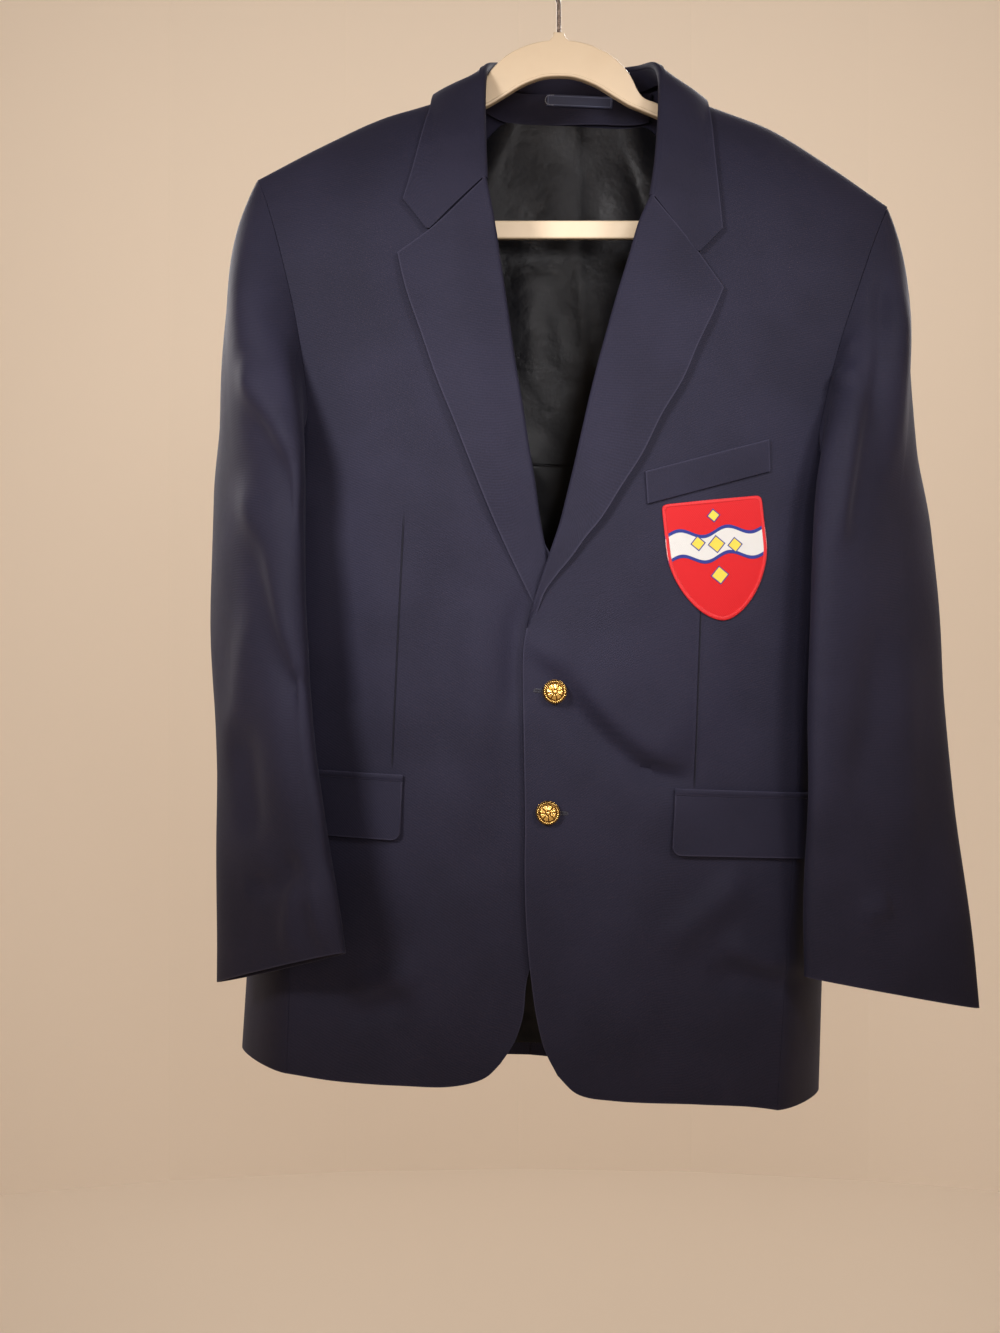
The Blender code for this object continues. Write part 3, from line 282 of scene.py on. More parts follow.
@dataclass
class CoatForm:
    """The coat's own smooth shape, which every piece lies on, with its main folds."""

    turn: float = math.radians(2.7)
    hang_x: float = 17.6
    hang_z: float = -124.5
    shoulder: Rows = (
        (40, 6, 10), (84, -9, -4), (108, -19, -14), (130, -27, -21), (160, -37.5, -31), (210, -63, -58),
        (265, -95, -92.5),
    )
    ridge_y: float = 2.0
    roll_drop: float = 120.0
    roll_power: float = 0.72
    depth: Rows = (
        (20, 58, 36, 38, 56), (-100, 66, 46, 48, 63), (-200, 76, 53, 53, 68), (-300, 83, 54, 53, 70),
        (-450, 88, 52, 50, 68), (-600, 86, 50, 50, 66), (-750, 80, 48, 52, 66), (-860, 76, 46, 54, 68),
    )
    side_seams: Rows = ((-290, 208, 234), (-450, 205, 236), (-650, 203, 241), (-860, 200, 246))
    front_corner: Pair = (20.0, 7.0)
    back_corner: Pair = (17.0, -4.0)
    neck_middle: float = -6.0
    neck_rise: Rows = ((0, 124), (20, 114), (36, 92), (50, 66), (64, 36), (74, 11), (80, 0), (300, 0))
    armhole: Rows = (
        (-94, 265, 265), (-110, 257.5, 261.5), (-130, 249.5, 257), (-150, 242.5, 252.5), (-170, 236, 248),
        (-211, 224, 241.5), (-243, 216.5, 237.5), (-270, 211.5, 235), (-292, 208, 234),
    )
    armhole_low: float = -292.0
    armhole_sag: float = 36.0
    underlap: float = 5.6
    roll: dict[Side, Rows] = sides(
        ((-8, -79), (-31, -75), (-94, -71), (-135, -63.5), (-173, -56), (-211, -48.7), (-249, -41.5), (-282, -34.4),
         (-318, -27.2), (-349, -20.5), (-376, -15.5), (-395, -11), (-420, -5.5), (-446, 0)),
        ((-2, 69), (-57.5, 65), (-101.6, 60.3), (-130.4, 52.5), (-159, 45.5), (-192, 37), (-222, 30), (-249, 24),
         (-275, 18.8), (-302, 14), (-330, 9), (-357, 3.8), (-380, -1), (-399, -6.5), (-420, -12.5), (-444, -18.5),
         (-462, -22.6)),
    )
    gorge: dict[Side, Rows] = sides(
        ((-70.5, -101), (-115, -147), (-138.4, -120)),
        ((59.8, -109.4), (100, -155), (120.3, -132.9)),
    )
    button_spots: Rows = ((2.2, -512), (1.3, -608.5))
    fold_radius: float = 3.4
    low_radius: float = 1.3
    front_half: float = 206.0
    front_power: float = 2.2
    front_phase: float = 0.4
    back_half: float = 249.0
    back_power: int = 4
    back_phase: float = 1.7
    fold_start: float = 90.0
    fold_gap: float = 12.0
    calm: float = 0.85
    calm_radius: float = 16.0
    underlap_from: Rows = ((-80, 45), (-330, 60))
    shoulder_end: float = 265.0

    def __post_init__(self) -> None:
        """Makes the curves of the tables."""
        self._ridge = {Side.RIGHT: Curve(self.shoulder, 1), Side.LEFT: Curve(self.shoulder, 2)}
        self._depths = [Curve(self.depth, i) for i in range(1, 5)]
        self.front_seam, self.back_seam = Curve(self.side_seams, 1), Curve(self.side_seams, 2)
        self._rise = Curve(self.neck_rise)
        self.armhole_front, self.armhole_back = Curve(self.armhole, 1), Curve(self.armhole, 2)

    def to_world(self, points: Array) -> Array:
        """Turns the coat's frame into the hanger's, and millimetres into metres.

        Args:
            points: Points in the coat's frame, on the last axis.

        Returns:
            The same points in the frame of the model.
        """
        x, y, z = (points[..., i] for i in range(3))
        cos, sin = math.cos(self.turn), math.sin(self.turn)
        return MM * np.stack([self.hang_x + x * cos + z * sin, y, self.hang_z - x * sin + z * cos], -1)

    def ridge(self, x: Array) -> Array:
        """Height of the shoulder ridge at x, blended across the neck."""
        share = smooth(x / 80 + 0.5)
        return (1 - share) * self._ridge[Side.RIGHT](abs(x)) + share * self._ridge[Side.LEFT](abs(x))

    def _roll_over(self, below: Array) -> Array:
        """How far the surface has come away from the ridge, from 0 at the ridge to 1."""
        drop = np.clip(below / self.roll_drop, 0.0, 1.0)
        return (1 - (1 - drop) ** 2) ** self.roll_power

    def _waves(self, x: Array, z: Array, phase: float) -> Array:
        """The slight unevenness of hanging cloth, in mm."""
        wave = np.sin(x / 31 + z / 97 + phase) * np.sin(z / 58 - x / 120 + 2 * phase)
        return 0.7 * wave + 0.5 * np.sin(x / 17 - z / 140 + 3 * phase) * np.sin(z / 83 + phase)

    def front(self, side: Side, x: Array, z: Array) -> Array:
        """Depth of the outer face of a front, the wearer's right one running behind the other at the closing.

        Args:
            side: Whose front it is.
            x: Distances across.
            z: Heights.

        Returns:
            The depths.
        """
        x, z = np.broadcast_arrays(np.asarray(x, float), np.asarray(z, float))
        middle, edge = self._depths[0](z), self._depths[1](z)
        depth = edge + (middle - edge) * (1 - (abs(x) / self.front_half) ** self.front_power)
        below = self.ridge(x) - z
        lift = sum(fold.at(x, z) for fold in FRONT_FOLDS) + self._waves(x, z, self.front_phase)
        for spot in self.button_spots:
            near = ((x - spot[0]) ** 2 + (z - spot[1]) ** 2) / self.calm_radius**2
            lift = lift * (1 - self.calm * np.exp(-near))
        y = self.ridge_y - (depth + self.ridge_y) * self._roll_over(below) - lift * smooth(below / self.fold_start)
        if side is Side.RIGHT:
            (start, across), (top, down) = self.underlap_from
            y = y + self.underlap * smooth((x - start) / across) * smooth((top - z) / down)
        return y

    def back(self, x: Array, z: Array) -> Array:
        """Depth of the outer face of the back, which stands up behind the neck.

        Args:
            x: Distances across.
            z: Heights.

        Returns:
            The depths.
        """
        x, z = np.broadcast_arrays(np.asarray(x, float), np.asarray(z, float))
        edge, middle = self._depths[2](z), self._depths[3](z)
        depth = edge + (middle - edge) * (1 - (abs(x) / self.back_half) ** self.back_power)
        ridge = self.ridge(x)
        below = ridge + self._rise(abs(x - self.neck_middle)) - z
        y = self.ridge_y + (depth - self.ridge_y) * self._roll_over(below)
        lift = sum(fold.at(x, z) for fold in BACK_FOLDS) + self._waves(x, z, self.back_phase)
        return y + lift * smooth((ridge - self.fold_gap - z) / self.fold_start)

    def inside_back(self, x: Array, z: Array, depth: float | Array) -> Array:
        """Depth of points inside the back, at a distance from its outer face measured square to it."""
        slope_x = self.back(x + 1, z) - self.back(x - 1, z)
        slope_z = self.back(x, z + 1) - self.back(x, z - 1)
        return self.back(x, z) - depth * np.sqrt(1 + (slope_x**2 + slope_z**2) / 4)

    def side(self, side: Side, share: Array, z: Array) -> Array:
        """Points of a side panel.

        Args:
            side: Which panel.
            share: Shares from its front seam, 0, to its back seam, 1.
            z: Heights.

        Returns:
            The points.
        """
        share, z = np.broadcast_arrays(np.asarray(share, float), np.asarray(z, float))
        sign = side.value
        ahead, behind = self.front_seam(z), self.back_seam(z)
        start = np.stack([ahead, self.front(side, sign * ahead, z)], -1)
        end = np.stack([behind, self.back(sign * behind, z)], -1)
        s = share[..., None]
        at = (1 - s) ** 3 * start + 3 * (1 - s) ** 2 * s * (start + self.front_corner)
        at = at + 3 * (1 - s) * s**2 * (end + self.back_corner) + s**3 * end
        return np.stack([sign * at[..., 0], at[..., 1], z], -1)

    def armhole_line(self, side: Side) -> Path:
        """The armhole as a closed line: from the shoulder down the front, under the arm and up the back."""
        sign, top = side.value, self.armhole[0][0]
        z = top + (self.armhole_low - top) * np.linspace(0, 1, 25) ** 1.3
        x = sign * self.armhole_front(z)
        down = np.stack([x, self.front(side, x, z), z], -1)
        share = np.linspace(0, 1, 17)[1:-1]
        under = self.side(side, share, self.under_arm(share))
        x = sign * self.armhole_back(z)
        up = np.stack([x, self.back(x, z), z], -1)[::-1]
        return Path(np.concatenate([down, under, up]))

    def under_arm(self, share: Array) -> Array:
        """Height of the armhole under the arm, at shares across the side panel."""
        return self.armhole_low - self.armhole_sag * np.sqrt(1 - (2 * share - 1) ** 2)

    def roll_radius(self, side: Side, z: Array) -> Array:
        """Radius of the lapel's fold, which tightens to its end at the front edge."""
        end = self.roll[side][-1][0]
        return self.low_radius + (self.fold_radius - self.low_radius) * smooth((z - end) / 90)

    def neck_tree(self) -> tuple[KDTree, Array, Array]:
        """The outside of the coat about the neck and shoulders, as points with their ways out.

        Returns:
            A tree of the points, the points and the ways out.
        """
        x, share = np.meshgrid(np.linspace(-170, 170, 171), np.linspace(0, 1, 90) ** 1.6)
        z = self.ridge(x) - 190 * share
        behind = z + self._rise(abs(x - self.neck_middle)) * (1 - share)
        spots, ways = [], []
        for sign, face, high in ((-1, self.front(Side.LEFT, x, z), z), (1, self.back(x, behind), behind)):
            spot = np.stack([x, face, high], -1)
            way = np.cross(np.gradient(spot, axis=1), np.gradient(spot, axis=0)) * -sign
            spots.append(spot.reshape(-1, 3))
            ways.append(unit(way * np.where(way[..., 1:2] * sign < 0, -1, 1)).reshape(-1, 3))
        spots, ways = np.concatenate(spots), np.concatenate(ways)
        tree = KDTree(len(spots))
        for number, spot in enumerate(spots):
            tree.insert(spot, number)
        tree.balance()
        return tree, spots, ways

    def clear(self, points: Array, rise: Array) -> Array:
        """Moves points out of the coat's own surface, so that what lies on it is clear of it.

        Args:
            points: Grid of points in the coat's frame.
            rise: Least distance out for each.

        Returns:
            The moved points.
        """
        tree, spots, ways = self.neck_tree()
        flat = points.reshape(-1, 3)
        near = np.array([tree.find(spot)[1] for spot in flat])
        short = np.maximum(0.0, rise.ravel() - np.sum((flat - spots[near]) * ways[near], -1))
        move = (short[:, None] * ways[near]).reshape(points.shape)
        for _ in range(6):
            move[1:-1] = 0.5 * move[1:-1] + 0.25 * (move[:-2] + move[2:])
        return points + move


def fill(top: Path, bottom: Path, inner: Path, outer: Path, across: Array, down: Array, gap: float) -> Array:
    """Rows of x and z inside four edges, which start at the inner side or at the top.

    Args:
        top: The upper edge.
        bottom: The lower edge.
        inner: The edge where the rows start.
        outer: The edge where the rows end.
        across: Shares across, the same for each row or a row of them for each.
        down: Shares down.
        gap: Distance kept from every edge.

    Returns:
        An array of rows of points.
    """
    length = np.linalg.norm(outer(1.0) - outer(0.0)) + 1
    v = np.clip(down, gap / length, 1 - gap / length)
    left, right = inner(v)[:, None], outer(v)[:, None]
    inset = np.minimum(0.45, gap / (np.linalg.norm(right - left, axis=-1) + 1e-6))
    u = inset + (1 - 2 * inset) * across
    rim, hem = top(u), bottom(u)
    u, v = u[..., None], v[:, None, None]
    corners = (1 - u) * (1 - v) * top(0.0) + u * (1 - v) * top(1.0) + (1 - u) * v * bottom(0.0) + u * v * bottom(1.0)
    return (1 - u) * left + u * right + (1 - v) * rim + v * hem - corners


def arcs(grid: Array) -> tuple[Array, Array]:
    """Lengths along a grid's rows and down its columns, from its first corner.

    Args:
        grid: Rows of points.

    Returns:
        The lengths across, and the lengths down.
    """
    across = np.cumsum(np.linalg.norm(np.diff(grid, axis=1, prepend=grid[:, :1]), axis=-1), axis=1)
    down = np.cumsum(np.linalg.norm(np.diff(grid, axis=0, prepend=grid[:1]), axis=-1), axis=0)
    return across, down


def show(name: str, data: Any) -> Thing:
    """Puts a mesh, a curve, a light or a camera in the scene."""
    obj = bpy.data.objects.new(name, data)
    bpy.context.scene.collection.objects.link(obj)
    return obj


def baked(source: Thing) -> Mesh:
    """Turns an object with its modifiers, or a curve, into a plain mesh, and takes the object away."""
    graph = bpy.context.evaluated_depsgraph_get()
    mesh = bpy.data.meshes.new_from_object(source.evaluated_get(graph), depsgraph=graph)
    source.modifiers.clear()
    bpy.data.objects.remove(source)
    return mesh


def smooth_mesh(name: str, points: Array, faces: Sequence[Sequence[int]], finish: Material) -> Mesh:
    """Makes a smoothly shaded mesh.

    Args:
        name: Its name.
        points: Its points, in the frame's metres.
        faces: Its faces, as numbers of points.
        finish: Its material.

    Returns:
        The mesh.
    """
    mesh = bpy.data.meshes.new(name)
    mesh.from_pydata(points.tolist(), [], faces)
    mesh.shade_smooth()
    mesh.materials.append(finish)
    return mesh


def write_cut(mesh: Mesh, flat: Array) -> None:
    """Writes each point's place on the flat cut as the UV map, in mm."""
    corner = np.empty(len(mesh.loops), np.int32)
    mesh.loops.foreach_get("vertex_index", corner)
    mesh.uv_layers.new(name="cut").data.foreach_set("uv", flat[corner].astype(np.float32).ravel())


def write_mark(mesh: Mesh, name: str, values: Array) -> None:
    """Stores a number on each point, for a finish to read."""
    mark = mesh.attributes.new(name, "FLOAT", "POINT")
    mark.data.foreach_set("value", values.astype(np.float32).ravel())


def ring_faces(rings: int, sectors: int) -> tuple[Array, Array, list[list[int]]]:
    """Faces between closed rings of points.

    Args:
        rings: How many rings.
        sectors: Points in each.

    Returns:
        The numbers of the points ring by ring, those of their neighbours, and the faces.
    """
    index = np.arange(rings * sectors).reshape(rings, sectors)
    after = np.roll(index, -1, 1)
    return index, after, np.stack([index[:-1], after[:-1], after[1:], index[1:]], -1).reshape(-1, 4).tolist()


@dataclass
class ClothPiece:
    """One cut piece of cloth, as a grid of points on its outer face.

    Attributes:
        name: Name of the finished piece.
        node: CAD node that it stands for.
        slot: The record's material slot; not used.
        grid: Rows of points in mm, in the coat's frame.
        outward: Rough way out of the cloth at the grid's middle.
        finish: Material.
        thickness: Thickness of the cloth in mm, with what is turned in at its edges.
        free: Edges that are turned and pressed.
        seam: Signed distance from a sewn line in mm, at each point.
        seam_on: How strongly that line shows at each point.
        rounding: Radius of the turned edges in mm.
    """

    name: str
    node: str
    slot: str
    grid: Array
    outward: tuple[float, float, float]
    finish: Material
    thickness: float = CLOTH
    free: tuple[Free, ...] = ()
    seam: Array | None = None
    seam_on: Array | None = None
    rounding: float = 0.6

    def make(self, form: CoatForm) -> None:
        """Args:
            form: The coat, for its place in the frame.
        """
        rows, columns = self.grid.shape[:2]
        points = form.to_world(self.grid).reshape(-1, 3)
        index = np.arange(rows * columns).reshape(rows, columns)
        quads = np.stack([index[:-1, :-1], index[:-1, 1:], index[1:, 1:], index[1:, :-1]], -1)
        middle = points[quads[rows // 2, columns // 2]]
        quads = quads.reshape(-1, 4)
        if np.dot(np.cross(middle[1] - middle[0], middle[2] - middle[0]), self.outward) < 0:
            quads = quads[:, ::-1]
        mesh = smooth_mesh(self.name, points, quads.tolist(), self.finish)
        self._mark(mesh)
        obj = show(self.name, mesh)
        solid = obj.modifiers.new("thickness", "SOLIDIFY")
        solid.thickness, solid.offset, solid.use_quality_normals = self.thickness * MM, -1.0, True
        rim = obj.modifiers.new("turned edge", "BEVEL")
        rim.width, rim.segments = self.rounding * MM, 3
        rim.limit_method, rim.angle_limit = "ANGLE", SHARP
        self._declare(obj)

    def _mark(self, mesh: Mesh) -> None:
        """Writes the cut's UV map and the distances that the finish reads, all in mm.

        Args:
            mesh: The piece's mesh.
        """
        across, down = arcs(self.grid)
        middle = across[:, across.shape[1] // 2][:, None]
        write_cut(mesh, np.stack([across - middle, down], -1).reshape(-1, 2))
        ways = {Free.INNER: across, Free.OUTER: across[:, -1:] - across, Free.TOP: down, Free.BOTTOM: down[-1:] - down}
        edge = np.full(across.shape, REACH)
        for free in self.free:
            edge = np.minimum(edge, ways[free])
        seam = REACH if self.seam is None else np.clip(self.seam, -REACH, REACH)
        shown = 0.0 if self.seam_on is None else self.seam_on
        for name, values in (("edge_mm", edge), ("seam_mm", seam), ("seam_on", shown)):
            write_mark(mesh, name, np.broadcast_to(values, across.shape))

    def _declare(self, obj: Thing) -> None:
        """Sets what the piece rides on, hides the CAD part that it replaces and logs the size and area of its flat
        cut.

        Args:
            obj: The piece's object.
        """
        across, down = arcs(self.grid)
        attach(obj, "root")
        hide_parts(self.node)
        g = self.grid * MM
        faces = np.cross(g[1:, 1:] - g[:-1, :-1], g[1:, :-1] - g[:-1, 1:])
        area = float(np.linalg.norm(faces, axis=-1).sum() / 2)
        width, length = float(across[:, -1].max() * MM), float(down[-1].max() * MM)
        length = max(length, area / width * 1.001, LEAST_LENGTH)
        LOG.info("%s: %.0f by %.0f mm, %.4f square metres", self.name, width / MM, length / MM, area)


class Graph:
    """A material's node tree, with short helpers."""

    def __init__(self, name: str, roughness: float, metallic: float = 0.0) -> None:
        """Starts a material.

        Args:
            name: Its name.
            roughness: Roughness where nothing is joined to it.
            metallic: 1 for bare metal.
        """
        self.material = bpy.data.materials.new(name)
        self.material.use_nodes = True
        self.tree = self.material.node_tree
        self.shader = self.tree.nodes["Principled BSDF"]
        self.shader.inputs["Roughness"].default_value = roughness
        self.shader.inputs["Metallic"].default_value = metallic

    def node(self, kind: str, inputs: dict[str, Any] | None = None, **settings: Any) -> bpy.types.Node:
        """Adds a node.

        Args:
            kind: Its type, without the words that all shader nodes start with.
            inputs: Values or sockets for its inputs.
            **settings: Its own properties.

        Returns:
            The node.
        """
        made = self.tree.nodes.new("ShaderNode" + kind)
        for key, value in settings.items():
            setattr(made, key, value)
        for key, value in (inputs or {}).items():
            self.put(made.inputs[key], value)
        return made

    def put(self, socket: Socket, value: Any) -> None:
        """Joins a socket to an input, or sets the input's value."""
        if isinstance(value, Socket):
            self.tree.links.new(value, socket)
        else:
            socket.default_value = value

    def sum(self, operation: str, *values: Any) -> Socket:
        """The result of a Math node."""
        made = self.node("Math", operation=operation)
        for socket, value in zip(made.inputs, values):
            self.put(socket, value)
        return made.outputs[0]

    def times(self, value: Any, factor: Any) -> Socket:
        """The product of two numbers."""
        return self.sum("MULTIPLY", value, factor)

    def total(self, *terms: tuple[Any, float]) -> Socket:
        """The sum of numbers, each times its weight."""
        whole, *rest = (self.times(value, weight) for value, weight in terms)
        for term in rest:
            whole = self.sum("ADD", whole, term)
        return whole

    def step(self, value: Any, low: float, high: float, first: float = 0.0, last: float = 1.0) -> Socket:
        """A soft step of a value, from first at low to last at high."""
        made = self.node("MapRange", interpolation_type="SMOOTHSTEP")
        for socket, number in zip(made.inputs, (value, low, high, first, last)):
            self.put(socket, number)
        return made.outputs[0]

    def fall(self, value: Any, low: float, high: float) -> Socket:
        """A soft step of a value, from 1 at low to 0 at high."""
        return self.step(value, low, high, 1.0, 0.0)

    def seam(self, low: float, high: float) -> Socket:
        """A groove along the sewn line, full as far as low mm from it and gone at high."""
        across = self.sum("ABSOLUTE", self.mark("seam_mm"))
        return self.times(self.fall(across, low, high), self.mark("seam_on"))

    def mix(self, share: Any, first: Any, second: Any) -> Socket:
        """A colour between two others."""
        made = self.node("MixRGB")
        for socket, value in zip(made.inputs, (share, first, second)):
            self.put(socket, (*value, 1.0) if isinstance(value, tuple) else value)
        return made.outputs[0]

    def mark(self, name: str) -> Socket:
        """A number stored on the mesh."""
        return self.node("Attribute", attribute_name=name).outputs["Fac"]

    def noise(self, where: Any, scale: float, detail: float = 3.0) -> Socket:
        """Fractal noise at a scale."""
        return self.node("TexNoise", {"Vector": where, "Scale": scale, "Detail": detail}).outputs["Fac"]

    def stripes(self, where: Any, period: float, direction: str, distortion: float = 0.0) -> Socket:
        """Rounded stripes that repeat at a period of the coordinates."""
        wave = {"Vector": where, "Scale": 0.314159 / period, "Distortion": distortion, "Detail": 1.0}
        return self.node("TexWave", wave, bands_direction=direction).outputs["Fac"]

    def cut(self) -> Socket:
        """The cloth's own map, in mm."""
        return self.node("UVMap", uv_map="cut").outputs[0]

    def place(self) -> Socket:
        """Object coordinates, in metres."""
        return self.node("TexCoord").outputs["Object"]

    def raise_by(self, height: Any) -> None:
        """Bumps the surface by a height in mm."""
        bump = self.node("Bump", {"Height": height, "Distance": MM, "Strength": 1.0})
        self.tree.links.new(bump.outputs[0], self.shader.inputs["Normal"])

    def set(self, **values: Any) -> None:
        """Sets the shader's own inputs, named with low lines for spaces."""
        for key, value in values.items():
            self.put(self.shader.inputs[key.replace("_", " ")], (*value, 1.0) if isinstance(value, tuple) else value)


@dataclass(frozen=True)
class WoolFinish:
    """Dark worsted twill, with a painted highlight and a little wear at its pressed edges and painted shade in its
    seam grooves.
    """

    name: str = "worsted_wool"
    dark: Colour = (0.0075, 0.0070, 0.0160)
    light: Colour = (0.0175, 0.0163, 0.0340)
    # Colour of the painted highlight along the turned edges, which also stands for a little wear.
    edge_highlight_and_wear: Colour = (0.034, 0.032, 0.056)
    twill: float = 1.1
    roughness: float = 0.74
    sheen: float = 0.035
    bloom: Colour = (0.7, 0.72, 1.0)
    # Colour of the painted shade in the seam grooves.
    shade: Colour = (0.003, 0.003, 0.005)
    # Reach in mm of the painted edge highlight, and its strength at the edge (wear).
    edge_highlight_reach: float = 1.8
    wear: float = 0.6

    def make(self) -> Material:
        """Builds the material.

        Returns:
            The material.
        """
        g = Graph(self.name, self.roughness)
        cut = g.cut()
        twill = g.stripes(cut, self.twill, "DIAGONAL", 0.8)
        yarn, cloud = g.noise(cut, 0.75, 4.0), g.noise(g.place(), 14.0, 4.0)
        groove, swell = g.seam(0.15, 1.1), g.seam(0.6, 3.4)
        tone = g.total((twill, 0.22), (g.step(yarn, 0.25, 0.75), 0.45), (g.step(cloud, 0.3, 0.7), 0.33))
        # Painted highlight: the colour lightens towards the turned edges, for the light they catch and a little wear.
        edge_highlight_and_wear = g.step(g.mark("edge_mm"), 0.0, self.edge_highlight_reach, self.wear, 0.0)
        colour = g.mix(edge_highlight_and_wear, g.mix(tone, self.dark, self.light), self.edge_highlight_and_wear)
        g.raise_by(g.total((twill, 0.05), (yarn, 0.07), (cloud, 0.9), (swell, 0.25), (groove, -0.6)))
        # Painted shade: the colour darkens towards the shade colour along the seam grooves.
        g.set(Base_Color=g.mix(g.times(groove, 0.75), colour, self.shade), Specular_IOR_Level=0.18)
        g.set(Sheen_Weight=self.sheen, Sheen_Roughness=0.45, Sheen_Tint=self.bloom)
        return g.material


@dataclass(frozen=True)
class SatinFinish:
    """Black lining satin, with fine threads down it and a soft shine."""

    name: str = "lining_satin"
    dark: Colour = (0.0022, 0.0022, 0.0030)
    light: Colour = (0.0060, 0.0060, 0.0080)
    crumple: float = 3.2

    def make(self) -> Material:
        """Builds the material.

        Returns:
            The material.
        """
        g = Graph(self.name, 0.36)
        thread, cloud = g.stripes(g.cut(), 0.5, "X", 1.2), g.noise(g.place(), 22.0, 4.0)
        g.set(Base_Color=g.mix(g.times(cloud, 1.1), self.dark, self.light))
        g.set(Roughness=g.step(cloud, 0.3, 0.7, 0.32, 0.46), Specular_IOR_Level=0.2)
        g.raise_by(g.total((thread, 0.03), (cloud, self.crumple), (g.seam(0.2, 1.4), -0.5)))
        return g.material


@dataclass(frozen=True)
class ThreadFinish:
    """Sewing or embroidery thread, with its twist as fine stripes."""

    name: str
    colour: Colour
    twist: float = 0.5

    def make(self) -> Material:
        """Builds the material.

        Returns:
            The material.
        """
        g = Graph(self.name, 0.6)
        where = g.place()
        twist, fuzz = g.stripes(where, self.twist * MM, "DIAGONAL", 0.4), g.noise(where, 900.0, 2.0)
        dark = tuple(0.55 * part for part in self.colour)
        g.raise_by(g.times(twist, 0.06))
        g.set(Base_Color=g.mix(g.total((twist, 0.6), (fuzz, 0.5)), dark, self.colour))
        g.set(Sheen_Weight=0.3, Sheen_Roughness=0.4)
        return g.material


@dataclass(frozen=True)
class BadgeFinish:
    """Embroidered twill: a red ground, a white band with blue edges and yellow lozenges, all in satin stitch."""

    name: str = "badge_embroidery"
    red: Colour = (0.52, 0.002, 0.005)
    white: Colour = (0.62, 0.61, 0.58)
    blue: Colour = (0.022, 0.035, 0.22)
    yellow: Colour = (0.74, 0.56, 0.07)
    band_level: float = 4.0
    band_bend: float = 3.2
    lozenges: Rows = ((-15.0, 6.0, 5.2), (0.0, 4.0, 6.2), (15.0, 2.0, 5.2), (0.0, -21.0, 6.5), (0.0, 27.0, 4.5))

    def make(self) -> Material:
        """Builds the material.

        Returns:
            The material.
        """
        g = Graph(self.name, 0.62)
        cut = g.cut()
        x, z = g.node("SeparateXYZ", {"Vector": cut}).outputs[:2]

        def off(value: Socket, middle: float) -> Socket:
            """Distance from a middle."""
            return g.sum("ABSOLUTE", g.sum("SUBTRACT", value, middle))

        bend = g.times(g.sum("SINE", g.times(x, 0.16)), self.band_bend)
        level = off(g.sum("SUBTRACT", z, bend), self.band_level)
        shown = g.fall(level, 11.4, 11.8)
        colour = g.mix(g.fall(level, 8.6, 9.0), g.mix(shown, self.red, self.blue), self.white)
        for spot_x, spot_z, size in self.lozenges:
            near = g.sum("ADD", off(x, spot_x), off(z, spot_z))
            halo = g.fall(near, size + 1.0, size + 1.4)
            colour = g.mix(halo, colour, self.blue)
            colour = g.mix(g.fall(near, size - 0.2, size + 0.2), colour, self.yellow)
            shown = g.sum("MAXIMUM", shown, halo)
        stitch, ground = g.times(g.stripes(cut, 0.55, "X", 0.5), shown), g.stripes(cut, 0.7, "DIAGONAL", 0.4)
        shade = g.sum("ADD", g.times(g.sum("ADD", stitch, ground), 0.16), 0.74)
        shaded = g.node("MixRGB", {"Fac": 1.0, "Color1": colour, "Color2": shade}, blend_type="MULTIPLY").outputs[0]
        g.raise_by(g.total((stitch, 0.16), (ground, 0.07), (shown, 0.3)))
        g.set(Base_Color=shaded, Sheen_Weight=0.06, Sheen_Roughness=0.4, Specular_IOR_Level=0.25)
        return g.material


@dataclass(frozen=True)
class LabelFinish:
    """A woven label with nothing on it but a fine lighter line inside its edge."""

    name: str = "woven_label"
    ground: Colour = (0.010, 0.016, 0.060)
    line: Colour = (0.10, 0.12, 0.22)

    def make(self) -> Material:
        """Builds the material.

        Returns:
            The material.
        """
        g = Graph(self.name, 0.5)
        rib, edge = g.stripes(g.cut(), 0.45, "Y", 0.2), g.mark("edge_mm")
        line = g.times(g.step(edge, 1.0, 1.2), g.fall(edge, 1.5, 1.7))
        g.raise_by(g.times(rib, 0.05))
        g.set(Base_Color=g.mix(g.sum("MAXIMUM", line, g.times(rib, 0.12)), self.ground, self.line))
        g.set(Sheen_Weight=0.2, Sheen_Roughness=0.4)
        return g.material


@dataclass(frozen=True)
class GoldFinish:
    """Stamped gold-coloured metal, bright on its high parts, with painted shade darkening its hollows."""

    name: str = "button_gold"
    bright: Colour = (0.90, 0.58, 0.17)
    painted_hollow_shade: Colour = (0.13, 0.065, 0.015)

    def make(self) -> Material:
        """Builds the material.

        Returns:
            The material.
        """
        g = Graph(self.name, 0.26, 0.95)
        scuff = g.noise(g.place(), 900.0, 4.0)
        g.raise_by(g.times(scuff, 0.03))
        # Painted shade: the colour darkens where the stamped relief is low.
        g.set(Base_Color=g.mix(g.step(g.mark("relief"), 0.2, 0.9), self.painted_hollow_shade, self.bright))
        g.set(Roughness=g.step(scuff, 0.35, 0.75, 0.20, 0.40))
        return g.material


@dataclass(frozen=True)
class PlasticFinish:
    """Smooth moulded plastic of a warm cream, with faint flow marks."""

    name: str = "hanger_cream"
    pale: Colour = (0.74, 0.60, 0.42)
    warm: Colour = (0.67, 0.52, 0.34)

    def make(self) -> Material:
        """Builds the material.

        Returns:
            The material.
        """
        g = Graph(self.name, 0.36)
        where = g.place()
        cloud, grain = g.noise(where, 26.0, 3.0), g.noise(where, 1400.0, 2.0)
        g.raise_by(g.total((cloud, 0.35), (grain, 0.015)))
        g.set(Base_Color=g.mix(g.step(cloud, 0.3, 0.75, 0.0, 0.5), self.pale, self.warm))
        g.set(Roughness=g.step(cloud, 0.3, 0.7, 0.30, 0.42), Coat_Weight=0.15, Coat_Roughness=0.25)
        return g.material


